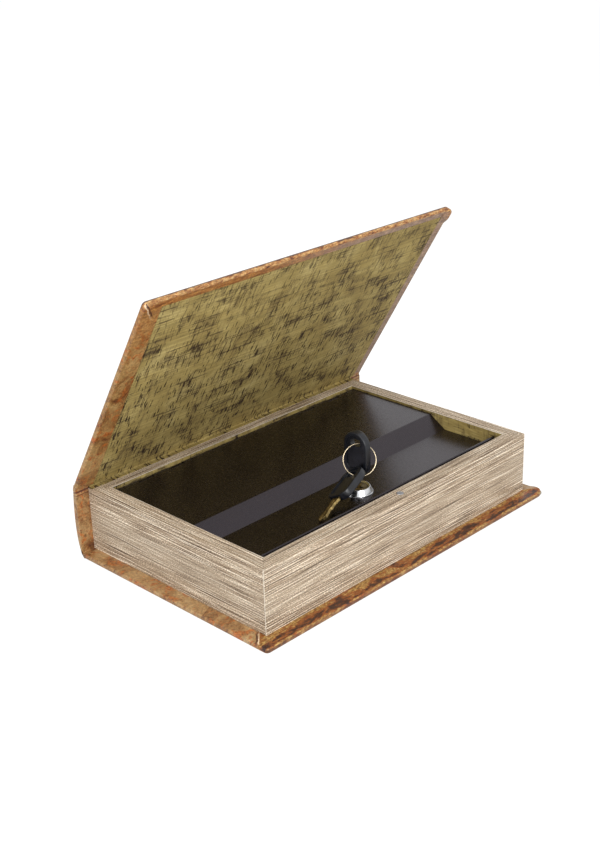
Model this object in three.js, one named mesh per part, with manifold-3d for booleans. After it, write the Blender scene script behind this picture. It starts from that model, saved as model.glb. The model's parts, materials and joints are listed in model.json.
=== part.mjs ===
// A book safe: a steel cash tray with a stepped, key-locked lid, hidden in a page block between book covers.
// Millimetres. +X runs from the spine to the fore-edge, +Y from the tail to the head, +Z up.
// The origin is the middle of the page block's footprint, on the surface that the back cover lies on.
// The cover stands open as in use, and the key is in the unlocked lock with the spare key on its ring.

import * as THREE from 'three';
import { mergeVertices } from 'three/addons/utils/BufferGeometryUtils.js';
import Module from 'manifold-3d';

const wasm = await Module();
wasm.setup();

// Page block: a frame of four mitred rails, printed outside and lined inside
const BLOCK_LENGTH = 280;
const BLOCK_WIDTH = 180;
const BLOCK_TOP = 52.3;
const RIM_WIDTH = 12;
const PRINT_THICKNESS = 0.4;
const LINING_THICKNESS = 0.4;

// Covers: greyboard in a leatherette skin, with a paper lining inside the turned-in edges
const COVER_THICKNESS = 3.7;
const SKIN_THICKNESS = 0.4;
const PAPER_THICKNESS = 0.4;
const GLUE_GAP = 0.3;
const COVER_EDGE_RADIUS = 1.4;
const COVER_CORNER_RADIUS = 3;
const COVER_OVERHANG_FORE = 12.4;
const COVER_OVERHANG_END = 11.3;
const FRONT_COVER_SHORTER = 5.4;
const FRONT_TURN_IN = { fore: 6.8, tail: 16, head: 8 };
const BACK_TURN_IN = { fore: 14, tail: 14, head: 14 };

// Cover hinge: the line about which the leatherette and the lining fold
const COVER_OPEN_DEG = 58.6;
const HINGE_OUTSIDE_BLOCK = 0.8;
const HINGE_ABOVE_BLOCK = 0.7;
const HINGE_TO_BOARD = 3.8;
const HINGE_TO_LINING = 0.6;
const HINGE_PAPER_WIDTH = 3.5;
const JOINT_BULGE = 0.7;

// Spine: a rounded board in its own skin
const SPINE_OUT_TOP = 3.2;
const SPINE_OUT_UPPER = 5.2;
const SPINE_OUT_LOWER = 5.8;
const SPINE_FOOT_ROUND = 1.6;
const SPINE_FOOT_REACH = 2.4;
const SPINE_UPPER_Z = 36;
const SPINE_LOWER_Z = 8;
const BACK_COVER_GAP = 0.3;

// Magnet in the fore rail and its keeper plate in the front cover
const MAGNET_RADIUS = 2.5;
const MAGNET_DEPTH = 3;
const KEEPER_RADIUS = 5;
const KEEPER_THICKNESS = 0.6;

// Steel tray
const SHEET = 1.2;
const TRAY_SIDE_GAP = 0.5;
const TRAY_END_GAP = 2.4;
const TRAY_WALL_TOP = 38;
const TRAY_SCREW_FROM_END = 68;
const TRAY_SCREW_Z = 16;
const SCREW_RADIUS = 1.7;
const SCREW_BITE = 8;
const SCREW_HEAD_RADIUS = 3.6;
const SCREW_HEAD_HEIGHT = 2;

// Strike channel: carries the front of the lid and catches the cam
const STRIKE_DEPTH = 16.5;
const STRIKE_LIP_DEPTH = 13;
const STRIKE_TO_LID = 0.3;

// Lid: plateau, slope, ledge and a hemmed finger lip, folded from one sheet
const PLATEAU_Z = 50.4;
const LEDGE_Z = 40.7;
const FINGER_SLOT = 8.8;
const LEDGE_WIDTH = 47.2;
const SLOPE_WIDTH = 15;
const LIP_TOP_Z = 48.8;
const HEM_RADIUS = 0.75;
const HEM_TAIL = 5;
const BEND_RADIUS = 1.6;
const LID_END_GAP = 0.5;
const LID_EDGE_PAST_HINGE = 0.8;
const CHEEK_INSET = 0.2;
const CHEEK_BOTTOM_Z = 34.9;

// Lid hinge: knuckles rolled from the lid and from the tray's spine wall, on two pins
const KNUCKLE_RADIUS = 2.5;
const KNUCKLE_BORE = 1.3;
const KNUCKLE_DROP = 0.15;
const PIN_RADIUS = 1.1;
const PIN_HEAD_RADIUS = 1.9;
const PIN_HEAD = 0.8;
const TRAY_KNUCKLE = 12;
const LID_KNUCKLE = 16;
const KNUCKLE_GAP = 0.4;
const HINGE_STATION_FROM_END = 43;

// Cam lock, at the middle of the ledge
const LOCK_TO_LIP = 25.2;
const BEZEL_RADIUS = 11.4;
const BEZEL_RIM = 0.8;
const BEZEL_HEIGHT = 4.8;
const BEZEL_TOP_RADIUS = 8.9;
const BEZEL_LIP = 0.4;
const BEZEL_DISH = 0.8;
const BARREL_RADIUS = 9.2;
const BARREL_FLAT = 8.2;
const BARREL_LENGTH = 12.2;
const PLUG_RADIUS = 7;
const PLUG_SUNK = 0.9;
const NUT_ACROSS_FLATS = 24;
const NUT_HEIGHT = 4;
const CAM_LENGTH = 27;
const CAM_WIDTH = 10;
const CAM_THICKNESS = 1.6;
const CAM_SQUARE = 7.5;
const CAM_SCREW_RADIUS = 1.6;
const CAM_SCREW_HEAD_RADIUS = 4.6;
const CAM_SCREW_HEAD = 2.2;
const CAM_SCREW_LENGTH = 4.5;
const RUNNING_GAP = 0.3;

// Keys: a notched brass blade in a moulded bow
const BOW_WIDTH = 21.6;
const BOW_HEIGHT = 32;
const BOW_THICKNESS = 6;
const BOW_EDGE_RADIUS = 1.4;
const BOW_FOOT_RADIUS = 6.5;
const BOW_RIM = 3;
const BOW_RECESS = 1;
const BOW_EYE_WIDTH = 9.2;
const BOW_EYE_HEIGHT = 5.6;
const BOW_EYE_CORNER = 2;
const BOW_EYE_FROM_TOP = 8.3;
const BLADE_WIDTH = 8;
const BLADE_THICKNESS = 2;
const BLADE_LENGTH = 22;
const BLADE_TANG = 9;
const BLADE_TIP_WIDTH = 3;
const BLADE_GROOVE_WIDTH = 1.6;
const BLADE_GROOVE_DEPTH = 0.5;
const BIT_DEPTHS = [0.7, 1.5, 1.0, 1.7, 0.8];
const BIT_PITCH = 3;
const KEY_FOOT_ABOVE_LEDGE = 15.5;

// Key ring, leaning out of the first key's eye, and the spare key that hangs on it down to the ledge
const RING_RADIUS = 11.8;
const RING_WIRE = 0.6;
const RING_SPLIT = 0.3;
const RING_AZIMUTH_DEG = -41;
const RING_LEAN_DEG = 30;
const RING_IN_EYE = 1.0;
const RING_EYE_SIDE = 1.2;
const SPARE_ON_RING_DEG = -114;
const SPARE_IN_EYE = 0.8;
const SPARE_AZIMUTH_DEG = -80;
const SPARE_TIP_ABOVE_LEDGE = 2.06;
const SPARE_ROLL_DEG = 31;

// Overlap that makes a cut pass right through what it cuts
const THROUGH = 1;

// Points nearer than this are one point
const SAME_POINT = 1e-4;

const SPINE_FACE_X = -BLOCK_WIDTH / 2;
const BLOCK_END_Y = BLOCK_LENGTH / 2;
const COVER_HALF_LENGTH = BLOCK_END_Y + COVER_OVERHANG_END;
const RIM_INNER_X = BLOCK_WIDTH / 2 - RIM_WIDTH;
const RIM_INNER_Y = BLOCK_END_Y - RIM_WIDTH;
const COVER_HINGE_X = SPINE_FACE_X - HINGE_OUTSIDE_BLOCK;
const COVER_HINGE_Z = BLOCK_TOP + HINGE_ABOVE_BLOCK;
const COVER_FORE_X = BLOCK_WIDTH / 2 + COVER_OVERHANG_FORE;
const COVER_WIDTH = COVER_FORE_X - COVER_HINGE_X - HINGE_TO_BOARD - FRONT_COVER_SHORTER;
const COVER_OPEN = THREE.MathUtils.degToRad(COVER_OPEN_DEG);
const TRAY_X = RIM_INNER_X - TRAY_SIDE_GAP;
const TRAY_Y = RIM_INNER_Y - TRAY_END_GAP;
const LID_END_Y = RIM_INNER_Y - LID_END_GAP;
const LID_HINGE_X = -TRAY_X + KNUCKLE_RADIUS;
const LID_HINGE_Z = PLATEAU_Z - KNUCKLE_RADIUS - KNUCKLE_DROP;
const TRAY_SCREW_Y = RIM_INNER_Y - TRAY_SCREW_FROM_END;
const HINGE_STATION_Y = RIM_INNER_Y - HINGE_STATION_FROM_END;
const LIP_X = RIM_INNER_X - FINGER_SLOT;
const LEDGE_CREASE_X = LIP_X - LEDGE_WIDTH;
const PLATEAU_CREASE_X = LEDGE_CREASE_X - SLOPE_WIDTH;
const LOCK_X = LIP_X - LOCK_TO_LIP;
const MAGNET_X = BLOCK_WIDTH / 2 - RIM_WIDTH / 2;
const STRIKE_TOP_Z = LEDGE_Z - SHEET - STRIKE_TO_LID;

const FINISH = {
  greyboard: [0x8d8678, 0.9, 0],
  leatherette: [0xa8743a, 0.45, 0],
  lining: [0x8b7d3c, 0.8, 0],
  wood: [0xb9986a, 0.8, 0],
  pages: [0xcdbfa5, 0.7, 0],
  black_steel: [0x1f1a17, 0.4, 0.3],
  steel: [0xb8babd, 0.35, 1],
  magnet: [0x8d93a0, 0.4, 1],
  chrome: [0xdfe2e6, 0.12, 1],
  brass: [0xa8893f, 0.35, 1],
  wire: [0xd6caa6, 0.25, 1],
  black_plastic: [0x15161a, 0.4, 0],
};

function finish(name) {
  const [color, roughness, metalness] = FINISH[name];
  return new THREE.MeshStandardMaterial({ color, roughness, metalness });
}

// A closed geometry as a solid that can be joined and cut
function solid(geometry) {
  const bare = geometry.clone();
  bare.deleteAttribute('normal');
  bare.deleteAttribute('uv');
  const merged = mergeVertices(bare, 1e-5);
  return new wasm.Manifold(new wasm.Mesh({
    numProp: 3,
    vertProperties: new Float32Array(merged.attributes.position.array),
    triVerts: new Uint32Array(merged.index.array),
  }));
}

function mesh(name, body, finishName) {
  const cut = body.getMesh();
  const geometry = new THREE.BufferGeometry();
  geometry.setAttribute('position', new THREE.BufferAttribute(cut.vertProperties, 3));
  geometry.setIndex(new THREE.BufferAttribute(cut.triVerts, 1));
  geometry.computeVertexNormals();
  const made = new THREE.Mesh(geometry, finish(finishName));
  made.name = name;
  return made;
}

function box(x0, x1, y0, y1, z0, z1) {
  const geometry = new THREE.BoxGeometry(x1 - x0, y1 - y0, z1 - z0);
  geometry.translate((x0 + x1) / 2, (y0 + y1) / 2, (z0 + z1) / 2);
  return solid(geometry);
}

// A box about the Z axis, from its half sizes
function slab(halfX, halfY, z0, z1) {
  return box(-halfX, halfX, -halfY, halfY, z0, z1);
}

function prismZ(shape, z0, z1, curveSegments = 12) {
  const geometry = new THREE.ExtrudeGeometry(shape, { depth: z1 - z0, bevelEnabled: false, curveSegments });
  geometry.translate(0, 0, z0);
  return solid(geometry);
}

// An outline drawn in X and Z, run along Y
function prismY(shape, y0, y1, curveSegments = 12) {
  const geometry = new THREE.ExtrudeGeometry(shape, { depth: y1 - y0, bevelEnabled: false, curveSegments });
  geometry.rotateX(Math.PI / 2);
  geometry.translate(0, y1, 0);
  return solid(geometry);
}

function cylinderZ(radius, z0, z1, sides = 32) {
  const geometry = new THREE.CylinderGeometry(radius, radius, z1 - z0, sides);
  geometry.rotateX(Math.PI / 2);
  geometry.translate(0, 0, (z0 + z1) / 2);
  return solid(geometry);
}

function cylinderY(radius, x, y0, y1, z, sides = 24) {
  const geometry = new THREE.CylinderGeometry(radius, radius, y1 - y0, sides);
  geometry.translate(x, (y0 + y1) / 2, z);
  return solid(geometry);
}

// A profile of [radius, height] points turned about the Z axis
function turned(points, sides = 48) {
  const profile = points.map(([radius, height]) => new THREE.Vector2(radius, height));
  const geometry = new THREE.LatheGeometry(profile, sides);
  geometry.rotateX(Math.PI / 2);
  return solid(geometry);
}

function joined(solids) {
  return solids.reduce((sum, next) => sum.add(next));
}

function outlined(points) {
  return new THREE.Shape(points.map(([x, y]) => new THREE.Vector2(x, y)));
}

function roundedRectangle(x0, x1, y0, y1, radius) {
  const shape = new THREE.Shape();
  shape.moveTo(x0 + radius, y0);
  shape.lineTo(x1 - radius, y0);
  shape.absarc(x1 - radius, y0 + radius, radius, -Math.PI / 2, 0);
  shape.lineTo(x1, y1 - radius);
  shape.absarc(x1 - radius, y1 - radius, radius, 0, Math.PI / 2);
  shape.lineTo(x0 + radius, y1);
  shape.absarc(x0 + radius, y1 - radius, radius, Math.PI / 2, Math.PI);
  shape.lineTo(x0, y0 + radius);
  shape.absarc(x0 + radius, y0 + radius, radius, Math.PI, Math.PI * 1.5);
  return shape;
}

// A path with each inner corner replaced by an arc of the given radius
function rounded(path, radii, steps = 4) {
  const points = [path[0]];
  for (let i = 1; i < path.length - 1; i += 1) {
    const corner = path[i];
    const back = path[i - 1].clone().sub(corner).normalize();
    const ahead = path[i + 1].clone().sub(corner).normalize();
    const half = Math.acos(THREE.MathUtils.clamp(back.dot(ahead), -1, 1)) / 2;
    const reach = radii[i - 1] / Math.tan(half);
    const middle = back.clone().add(ahead).normalize().multiplyScalar(radii[i - 1] / Math.sin(half));
    const centre = corner.clone().add(middle);
    const start = back.multiplyScalar(reach).add(corner).sub(centre);
    const end = ahead.multiplyScalar(reach).add(corner).sub(centre);
    const turn = Math.atan2(start.cross(end), start.dot(end));
    for (let step = 0; step <= steps; step += 1) {
      points.push(start.clone().rotateAround(new THREE.Vector2(), turn * step / steps).add(centre));
    }
  }
  points.push(path[path.length - 1]);
  return points.filter((point, i) => i === 0 || point.distanceTo(points[i - 1]) > SAME_POINT);
}

// The outline of a sheet of the given thickness about a middle line
function sheetOutline(line, thickness) {
  const sides = [[], []];
  line.forEach((point, i) => {
    const before = point.clone().sub(line[Math.max(i - 1, 0)]).normalize();
    const after = line[Math.min(i + 1, line.length - 1)].clone().sub(point).normalize();
    const along = before.clone().add(after).normalize();
    const heading = i === 0 ? after : before;
    const across = new THREE.Vector2(-along.y, along.x);
    across.multiplyScalar(thickness / 2 / along.dot(heading));
    sides[0].push(point.clone().add(across));
    sides[1].unshift(point.clone().sub(across));
  });
  return new THREE.Shape([...sides[0], ...sides[1]]);
}

// Covers. Each is drawn with its inside face at z = 0, its outside above, and its spine edge at x = 0.

function coverSlab(inset, width) {
  const radius = COVER_EDGE_RADIUS - inset;
  const half = COVER_HALF_LENGTH - inset;
  const corner = COVER_CORNER_RADIUS - inset;
  const geometry = new THREE.ExtrudeGeometry(roundedRectangle(inset, width - inset, -half, half, corner), {
    depth: COVER_THICKNESS - 2 * inset - 2 * radius,
    bevelThickness: radius,
    bevelSize: radius,
    bevelOffset: -radius,
    bevelSegments: 2,
    curveSegments: 5,
  });
  geometry.translate(0, 0, inset + radius);
  return solid(geometry);
}

// The field inside the turned-in edges, less a gap all round
function coverField(x0, width, turnIn, gap, z0, z1) {
  return box(
    x0, width - turnIn.fore - gap,
    -COVER_HALF_LENGTH + turnIn.tail + gap, COVER_HALF_LENGTH - turnIn.head - gap,
    z0, z1,
  );
}

function coverSkin(width, turnIn) {
  const opening = coverField(-THROUGH, width, turnIn, 0, -THROUGH, COVER_THICKNESS / 2);
  return coverSlab(0, width).subtract(coverSlab(SKIN_THICKNESS, width)).subtract(opening);
}

function coverLining(x0, width, turnIn) {
  return coverField(x0, width, turnIn, GLUE_GAP, 0, PAPER_THICKNESS);
}

function coverBoard(width) {
  return coverSlab(SKIN_THICKNESS + GLUE_GAP, width);
}

function frontCover() {
  const cover = new THREE.Group();
  cover.position.set(COVER_HINGE_X, 0, COVER_HINGE_Z);
  cover.rotation.y = -COVER_OPEN;
  const face = new THREE.Group();
  face.position.x = HINGE_TO_BOARD;
  cover.add(face);

  const keeperX = MAGNET_X - COVER_HINGE_X - HINGE_TO_BOARD;
  const pocketFloor = SKIN_THICKNESS + GLUE_GAP + KEEPER_THICKNESS + GLUE_GAP;
  const pocket = cylinderZ(KEEPER_RADIUS + RUNNING_GAP, -THROUGH, pocketFloor).translate([keeperX, 0, 0]);
  const keeperTop = pocketFloor - GLUE_GAP;
  const keeper = cylinderZ(KEEPER_RADIUS, keeperTop - KEEPER_THICKNESS, keeperTop).translate([keeperX, 0, 0]);
  face.add(mesh('front_board', coverBoard(COVER_WIDTH).subtract(pocket), 'greyboard'));
  face.add(mesh('front_leatherette', coverSkin(COVER_WIDTH, FRONT_TURN_IN), 'leatherette'));
  const lining = coverLining(HINGE_TO_LINING - HINGE_TO_BOARD, COVER_WIDTH, FRONT_TURN_IN);
  face.add(mesh('front_endpaper', lining, 'lining'));
  face.add(mesh('keeper_plate', keeper, 'steel'));
  return cover;
}

function backCover() {
  const start = SPINE_FACE_X + SPINE_FOOT_REACH + BACK_COVER_GAP;
  const width = COVER_FORE_X - start;
  const cover = new THREE.Group();
  cover.position.set(start, 0, COVER_THICKNESS);
  cover.rotation.x = Math.PI;
  cover.add(mesh('back_board', coverBoard(width), 'greyboard'));
  cover.add(mesh('back_leatherette', coverSkin(width, BACK_TURN_IN), 'leatherette'));
  cover.add(mesh('back_endpaper', coverLining(SKIN_THICKNESS, width, BACK_TURN_IN), 'lining'));
  return cover;
}

// Spine: flat against the block, rounded outside, with its foot folded a little way under the block
function spineBar(inset) {
  const foot = SPINE_FACE_X + SPINE_FOOT_REACH;
  const shape = new THREE.Shape();
  shape.moveTo(foot, BLOCK_TOP - inset);
  shape.lineTo(SPINE_FACE_X - SPINE_OUT_TOP + inset, BLOCK_TOP - inset);
  shape.bezierCurveTo(
    SPINE_FACE_X - SPINE_OUT_UPPER + inset, SPINE_UPPER_Z,
    SPINE_FACE_X - SPINE_OUT_LOWER + inset, SPINE_LOWER_Z,
    SPINE_FACE_X + SPINE_FOOT_ROUND, inset,
  );
  shape.lineTo(foot, inset);
  return prismY(shape, -COVER_HALF_LENGTH + inset, COVER_HALF_LENGTH - inset, 14);
}

// The part of the spine behind the block, kept clear of the block by the inset
function spineBehindBlock(inset) {
  const length = COVER_HALF_LENGTH + THROUGH;
  const front = box(
    SPINE_FACE_X - inset, SPINE_FACE_X + SPINE_FOOT_REACH + THROUGH,
    -length, length,
    -THROUGH, BLOCK_TOP + THROUGH,
  );
  return spineBar(inset).subtract(front);
}

function spine() {
  const block = box(
    SPINE_FACE_X, SPINE_FACE_X + SPINE_FOOT_REACH + THROUGH,
    -COVER_HALF_LENGTH - THROUGH, COVER_HALF_LENGTH + THROUGH,
    COVER_THICKNESS, BLOCK_TOP + THROUGH,
  );
  const window = box(
    SPINE_FACE_X - SKIN_THICKNESS - THROUGH, SPINE_FACE_X + THROUGH,
    -BLOCK_END_Y + RIM_WIDTH, BLOCK_END_Y - RIM_WIDTH,
    COVER_THICKNESS + RIM_WIDTH, BLOCK_TOP - RIM_WIDTH,
  );
  const skin = spineBar(0).subtract(block).subtract(spineBehindBlock(SKIN_THICKNESS)).subtract(window);
  return [
    mesh('spine_board', spineBehindBlock(SKIN_THICKNESS + GLUE_GAP), 'greyboard'),
    mesh('spine_leatherette', skin, 'leatherette'),
  ];
}

// The leatherette that bridges the spine and the front cover, and folds as the cover moves
function jointLeatherette() {
  const turn = (u, v) => new THREE.Vector2(
    COVER_HINGE_X + u * Math.cos(COVER_OPEN) - v * Math.sin(COVER_OPEN),
    COVER_HINGE_Z + u * Math.sin(COVER_OPEN) + v * Math.cos(COVER_OPEN),
  );
  const foot = new THREE.Vector2(SPINE_FACE_X - SPINE_OUT_TOP + SKIN_THICKNESS, BLOCK_TOP + GLUE_GAP);
  const top = turn(HINGE_TO_BOARD - GLUE_GAP, COVER_THICKNESS - COVER_EDGE_RADIUS);
  const middle = foot.clone().add(top).multiplyScalar(0.5).add(new THREE.Vector2(-JOINT_BULGE, 0));
  const line = new THREE.QuadraticBezierCurve(foot, middle, top).getPoints(6);
  const strip = prismY(sheetOutline(line, 2 * SKIN_THICKNESS), -COVER_HALF_LENGTH, COVER_HALF_LENGTH);
  return mesh('joint_leatherette', strip, 'leatherette');
}

// The lining's fold onto the spine side of the page block
function hingeEndpaper() {
  const strip = box(
    SPINE_FACE_X, SPINE_FACE_X + HINGE_PAPER_WIDTH,
    -BLOCK_END_Y, BLOCK_END_Y,
    BLOCK_TOP, BLOCK_TOP + PAPER_THICKNESS,
  );
  return mesh('hinge_endpaper', strip, 'lining');
}

// Page block
const RAIL_OUT = PRINT_THICKNESS;
const RAIL_IN = RIM_WIDTH - LINING_THICKNESS;
const RAIL_TOP_Z = BLOCK_TOP - PRINT_THICKNESS;

function frameCorner(signX, signY, inward) {
  return [signX * (BLOCK_WIDTH / 2 - inward), signY * (BLOCK_END_Y - inward)];
}

// The four corners of the frame in order round it, so that each rail runs between two of them
const FRAME_CORNERS = [[-1, -1], [1, -1], [1, 1], [-1, 1]];
const RAIL_NAMES = ['rail_tail', 'rail_fore', 'rail_head', 'rail_spine'];

function screwHoles(radius) {
  const reach = BLOCK_WIDTH / 2 - THROUGH;
  return joined([-1, 1].map((side) => cylinderZ(radius, -reach, reach)
    .rotate([0, 90, 0])
    .translate([0, side * TRAY_SCREW_Y, TRAY_SCREW_Z])));
}

function magnetHole() {
  const floor = BLOCK_TOP - MAGNET_DEPTH - RUNNING_GAP;
  return cylinderZ(MAGNET_RADIUS + RUNNING_GAP, floor, BLOCK_TOP + THROUGH).translate([MAGNET_X, 0, 0]);
}

function pageBlock() {
  const screws = screwHoles(SCREW_RADIUS + RUNNING_GAP);
  const rails = RAIL_NAMES.map((name, i) => {
    const [ax, ay] = FRAME_CORNERS[i];
    const [bx, by] = FRAME_CORNERS[(i + 1) % FRAME_CORNERS.length];
    const plan = outlined([
      frameCorner(ax, ay, RAIL_OUT), frameCorner(bx, by, RAIL_OUT),
      frameCorner(bx, by, RAIL_IN), frameCorner(ax, ay, RAIL_IN),
    ]);
    const rail = prismZ(plan, COVER_THICKNESS, RAIL_TOP_Z).subtract(screws).subtract(magnetHole());
    return mesh(name, rail, 'wood');
  });
  const print = slab(BLOCK_WIDTH / 2, BLOCK_END_Y, COVER_THICKNESS, BLOCK_TOP)
    .subtract(slab(BLOCK_WIDTH / 2 - RAIL_OUT, BLOCK_END_Y - RAIL_OUT, 0, RAIL_TOP_Z))
    .subtract(slab(RIM_INNER_X, RIM_INNER_Y, 0, BLOCK_TOP + THROUGH))
    .subtract(magnetHole());
  const lining = slab(BLOCK_WIDTH / 2 - RAIL_IN, BLOCK_END_Y - RAIL_IN, COVER_THICKNESS, RAIL_TOP_Z)
    .subtract(slab(RIM_INNER_X, RIM_INNER_Y, 0, BLOCK_TOP))
    .subtract(screws);
  const magnet = cylinderZ(MAGNET_RADIUS, BLOCK_TOP - MAGNET_DEPTH, BLOCK_TOP).translate([MAGNET_X, 0, 0]);
  return [
    ...rails,
    mesh('page_print', print, 'pages'),
    mesh('frame_lining', lining, 'lining'),
    mesh('magnet', magnet, 'magnet'),
  ];
}

// Lid hinge. A station is two tray knuckles with a lid knuckle between them.
const STATION_HALF = LID_KNUCKLE / 2 + KNUCKLE_GAP + TRAY_KNUCKLE;

function trayKnuckleSpans(stationY) {
  const near = LID_KNUCKLE / 2 + KNUCKLE_GAP;
  return [[stationY - STATION_HALF, stationY - near], [stationY + near, stationY + STATION_HALF]];
}

function knuckle(y0, y1) {
  return cylinderY(KNUCKLE_RADIUS, LID_HINGE_X, y0, y1, LID_HINGE_Z);
}

function hingeBore(stationY) {
  const half = STATION_HALF + THROUGH;
  return cylinderY(KNUCKLE_BORE, LID_HINGE_X, stationY - half, stationY + half, LID_HINGE_Z);
}

function hingePin(name, stationY) {
  const half = STATION_HALF;
  const pin = turned([
    [0, -half - PIN_HEAD], [PIN_HEAD_RADIUS, -half - PIN_HEAD], [PIN_HEAD_RADIUS, -half],
    [PIN_RADIUS, -half], [PIN_RADIUS, half], [PIN_HEAD_RADIUS, half],
    [PIN_HEAD_RADIUS, half + PIN_HEAD], [0, half + PIN_HEAD],
  ], 16);
  const placed = pin.rotate([90, 0, 0]).translate([LID_HINGE_X, stationY, LID_HINGE_Z]);
  return mesh(name, placed, 'steel');
}

// Tray
function tray() {
  const hingeWallTop = LID_HINGE_Z - KNUCKLE_RADIUS - TRAY_SIDE_GAP;
  const outer = slab(TRAY_X, TRAY_Y, COVER_THICKNESS, TRAY_WALL_TOP);
  const inner = slab(TRAY_X - SHEET, TRAY_Y - SHEET, COVER_THICKNESS + SHEET, TRAY_WALL_TOP + THROUGH);
  const parts = [
    outer.subtract(inner),
    box(-TRAY_X, -TRAY_X + SHEET, -TRAY_Y, TRAY_Y, COVER_THICKNESS + SHEET, hingeWallTop),
  ];
  for (const stationY of [-HINGE_STATION_Y, HINGE_STATION_Y]) {
    for (const [y0, y1] of trayKnuckleSpans(stationY)) {
      parts.push(box(-TRAY_X, -TRAY_X + SHEET, y0, y1, COVER_THICKNESS + SHEET, LID_HINGE_Z));
      parts.push(knuckle(y0, y1));
    }
  }
  const bores = joined([-HINGE_STATION_Y, HINGE_STATION_Y].map(hingeBore));
  const body = joined(parts).subtract(bores).subtract(screwHoles(SCREW_RADIUS + RUNNING_GAP));
  return mesh('tray', body, 'black_steel');
}

// A channel folded from sheet along the inside of the tray's front wall
function strikeChannel() {
  const camTopZ = LEDGE_Z - BARREL_LENGTH - RUNNING_GAP;
  const lipZ = camTopZ + RUNNING_GAP + SHEET / 2;
  const webX = TRAY_X - SHEET - SHEET / 2;
  const line = rounded([
    new THREE.Vector2(TRAY_X - SHEET - STRIKE_DEPTH, STRIKE_TOP_Z - SHEET / 2),
    new THREE.Vector2(webX, STRIKE_TOP_Z - SHEET / 2),
    new THREE.Vector2(webX, lipZ),
    new THREE.Vector2(TRAY_X - SHEET - STRIKE_LIP_DEPTH, lipZ),
  ], [SHEET, SHEET]);
  const half = TRAY_Y - SHEET - RUNNING_GAP;
  return mesh('strike_channel', prismY(sheetOutline(line, SHEET), -half, half), 'black_steel');
}

function trayScrew(name, signX, signY) {
  const seat = TRAY_X - SHEET;
  const tip = BLOCK_WIDTH / 2 - RIM_WIDTH + SCREW_BITE;
  const screw = turned([
    [0, -SCREW_HEAD_HEIGHT], [SCREW_HEAD_RADIUS * 0.6, -SCREW_HEAD_HEIGHT],
    [SCREW_HEAD_RADIUS, -SCREW_HEAD_HEIGHT / 2], [SCREW_HEAD_RADIUS, 0],
    [SCREW_RADIUS, 0], [SCREW_RADIUS, tip - seat - SCREW_RADIUS], [0, tip - seat],
  ], 16);
  const placed = screw.rotate([0, signX * 90, 0])
    .translate([signX * seat, signY * TRAY_SCREW_Y, TRAY_SCREW_Z]);
  return mesh(name, placed, 'steel');
}

// Lid
function lidLine() {
  const middle = SHEET / 2;
  return [
    new THREE.Vector2(LID_HINGE_X - LID_EDGE_PAST_HINGE, PLATEAU_Z - middle),
    new THREE.Vector2(PLATEAU_CREASE_X, PLATEAU_Z - middle),
    new THREE.Vector2(LEDGE_CREASE_X, LEDGE_Z - middle),
    new THREE.Vector2(LIP_X, LEDGE_Z - middle),
    new THREE.Vector2(LIP_X, LIP_TOP_Z - middle),
    new THREE.Vector2(LIP_X + 2 * HEM_RADIUS, LIP_TOP_Z - middle),
    new THREE.Vector2(LIP_X + 2 * HEM_RADIUS, LIP_TOP_Z - middle - HEM_TAIL),
  ];
}

// An end cheek: closes the lid's end, down past the top of the tray's end wall
function lidCheek(side) {
  const [edge, plateau, ledge, lip] = lidLine();
  const back = edge.x + CHEEK_INSET;
  const outline = outlined([
    [back, CHEEK_BOTTOM_Z], [lip.x, CHEEK_BOTTOM_Z], [lip.x, lip.y],
    [ledge.x, ledge.y], [plateau.x, plateau.y], [back, edge.y],
  ]);
  const middle = side * (LID_END_Y - CHEEK_INSET - SHEET / 2);
  return prismY(outline, middle - SHEET / 2, middle + SHEET / 2);
}

function lockHole(radius, flat) {
  const length = BARREL_LENGTH + THROUGH;
  const flats = slab(flat, radius + THROUGH, -length, length);
  return cylinderZ(radius, -length, length, 48).intersect(flats);
}

// Room in the lid's edge for the tray's knuckles and the pin's heads, either side of the lid's own knuckle
function hingeNotch(stationY) {
  const x0 = LID_HINGE_X - 2 * KNUCKLE_RADIUS;
  const x1 = LID_HINGE_X + KNUCKLE_RADIUS + KNUCKLE_GAP;
  const half = STATION_HALF + PIN_HEAD + KNUCKLE_GAP;
  const span = box(x0, x1, stationY - half, stationY + half, CHEEK_BOTTOM_Z, PLATEAU_Z + THROUGH);
  const own = box(x0, x1, stationY - LID_KNUCKLE / 2, stationY + LID_KNUCKLE / 2, 0, PLATEAU_Z + 2 * THROUGH);
  return span.subtract(own);
}

function lid() {
  const bends = [BEND_RADIUS, BEND_RADIUS, BEND_RADIUS, HEM_RADIUS, HEM_RADIUS];
  const sheet = prismY(sheetOutline(rounded(lidLine(), bends), SHEET), -LID_END_Y, LID_END_Y);
  const parts = [sheet, lidCheek(-1), lidCheek(1)];
  for (const stationY of [-HINGE_STATION_Y, HINGE_STATION_Y]) {
    parts.push(knuckle(stationY - LID_KNUCKLE / 2, stationY + LID_KNUCKLE / 2));
  }
  const cuts = [lockHole(BARREL_RADIUS + RUNNING_GAP, BARREL_FLAT + RUNNING_GAP).translate([LOCK_X, 0, LEDGE_Z])];
  for (const stationY of [-HINGE_STATION_Y, HINGE_STATION_Y]) {
    cuts.push(hingeNotch(stationY), hingeBore(stationY));
  }
  return mesh('lid', joined(parts).subtract(joined(cuts)), 'black_steel');
}

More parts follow.
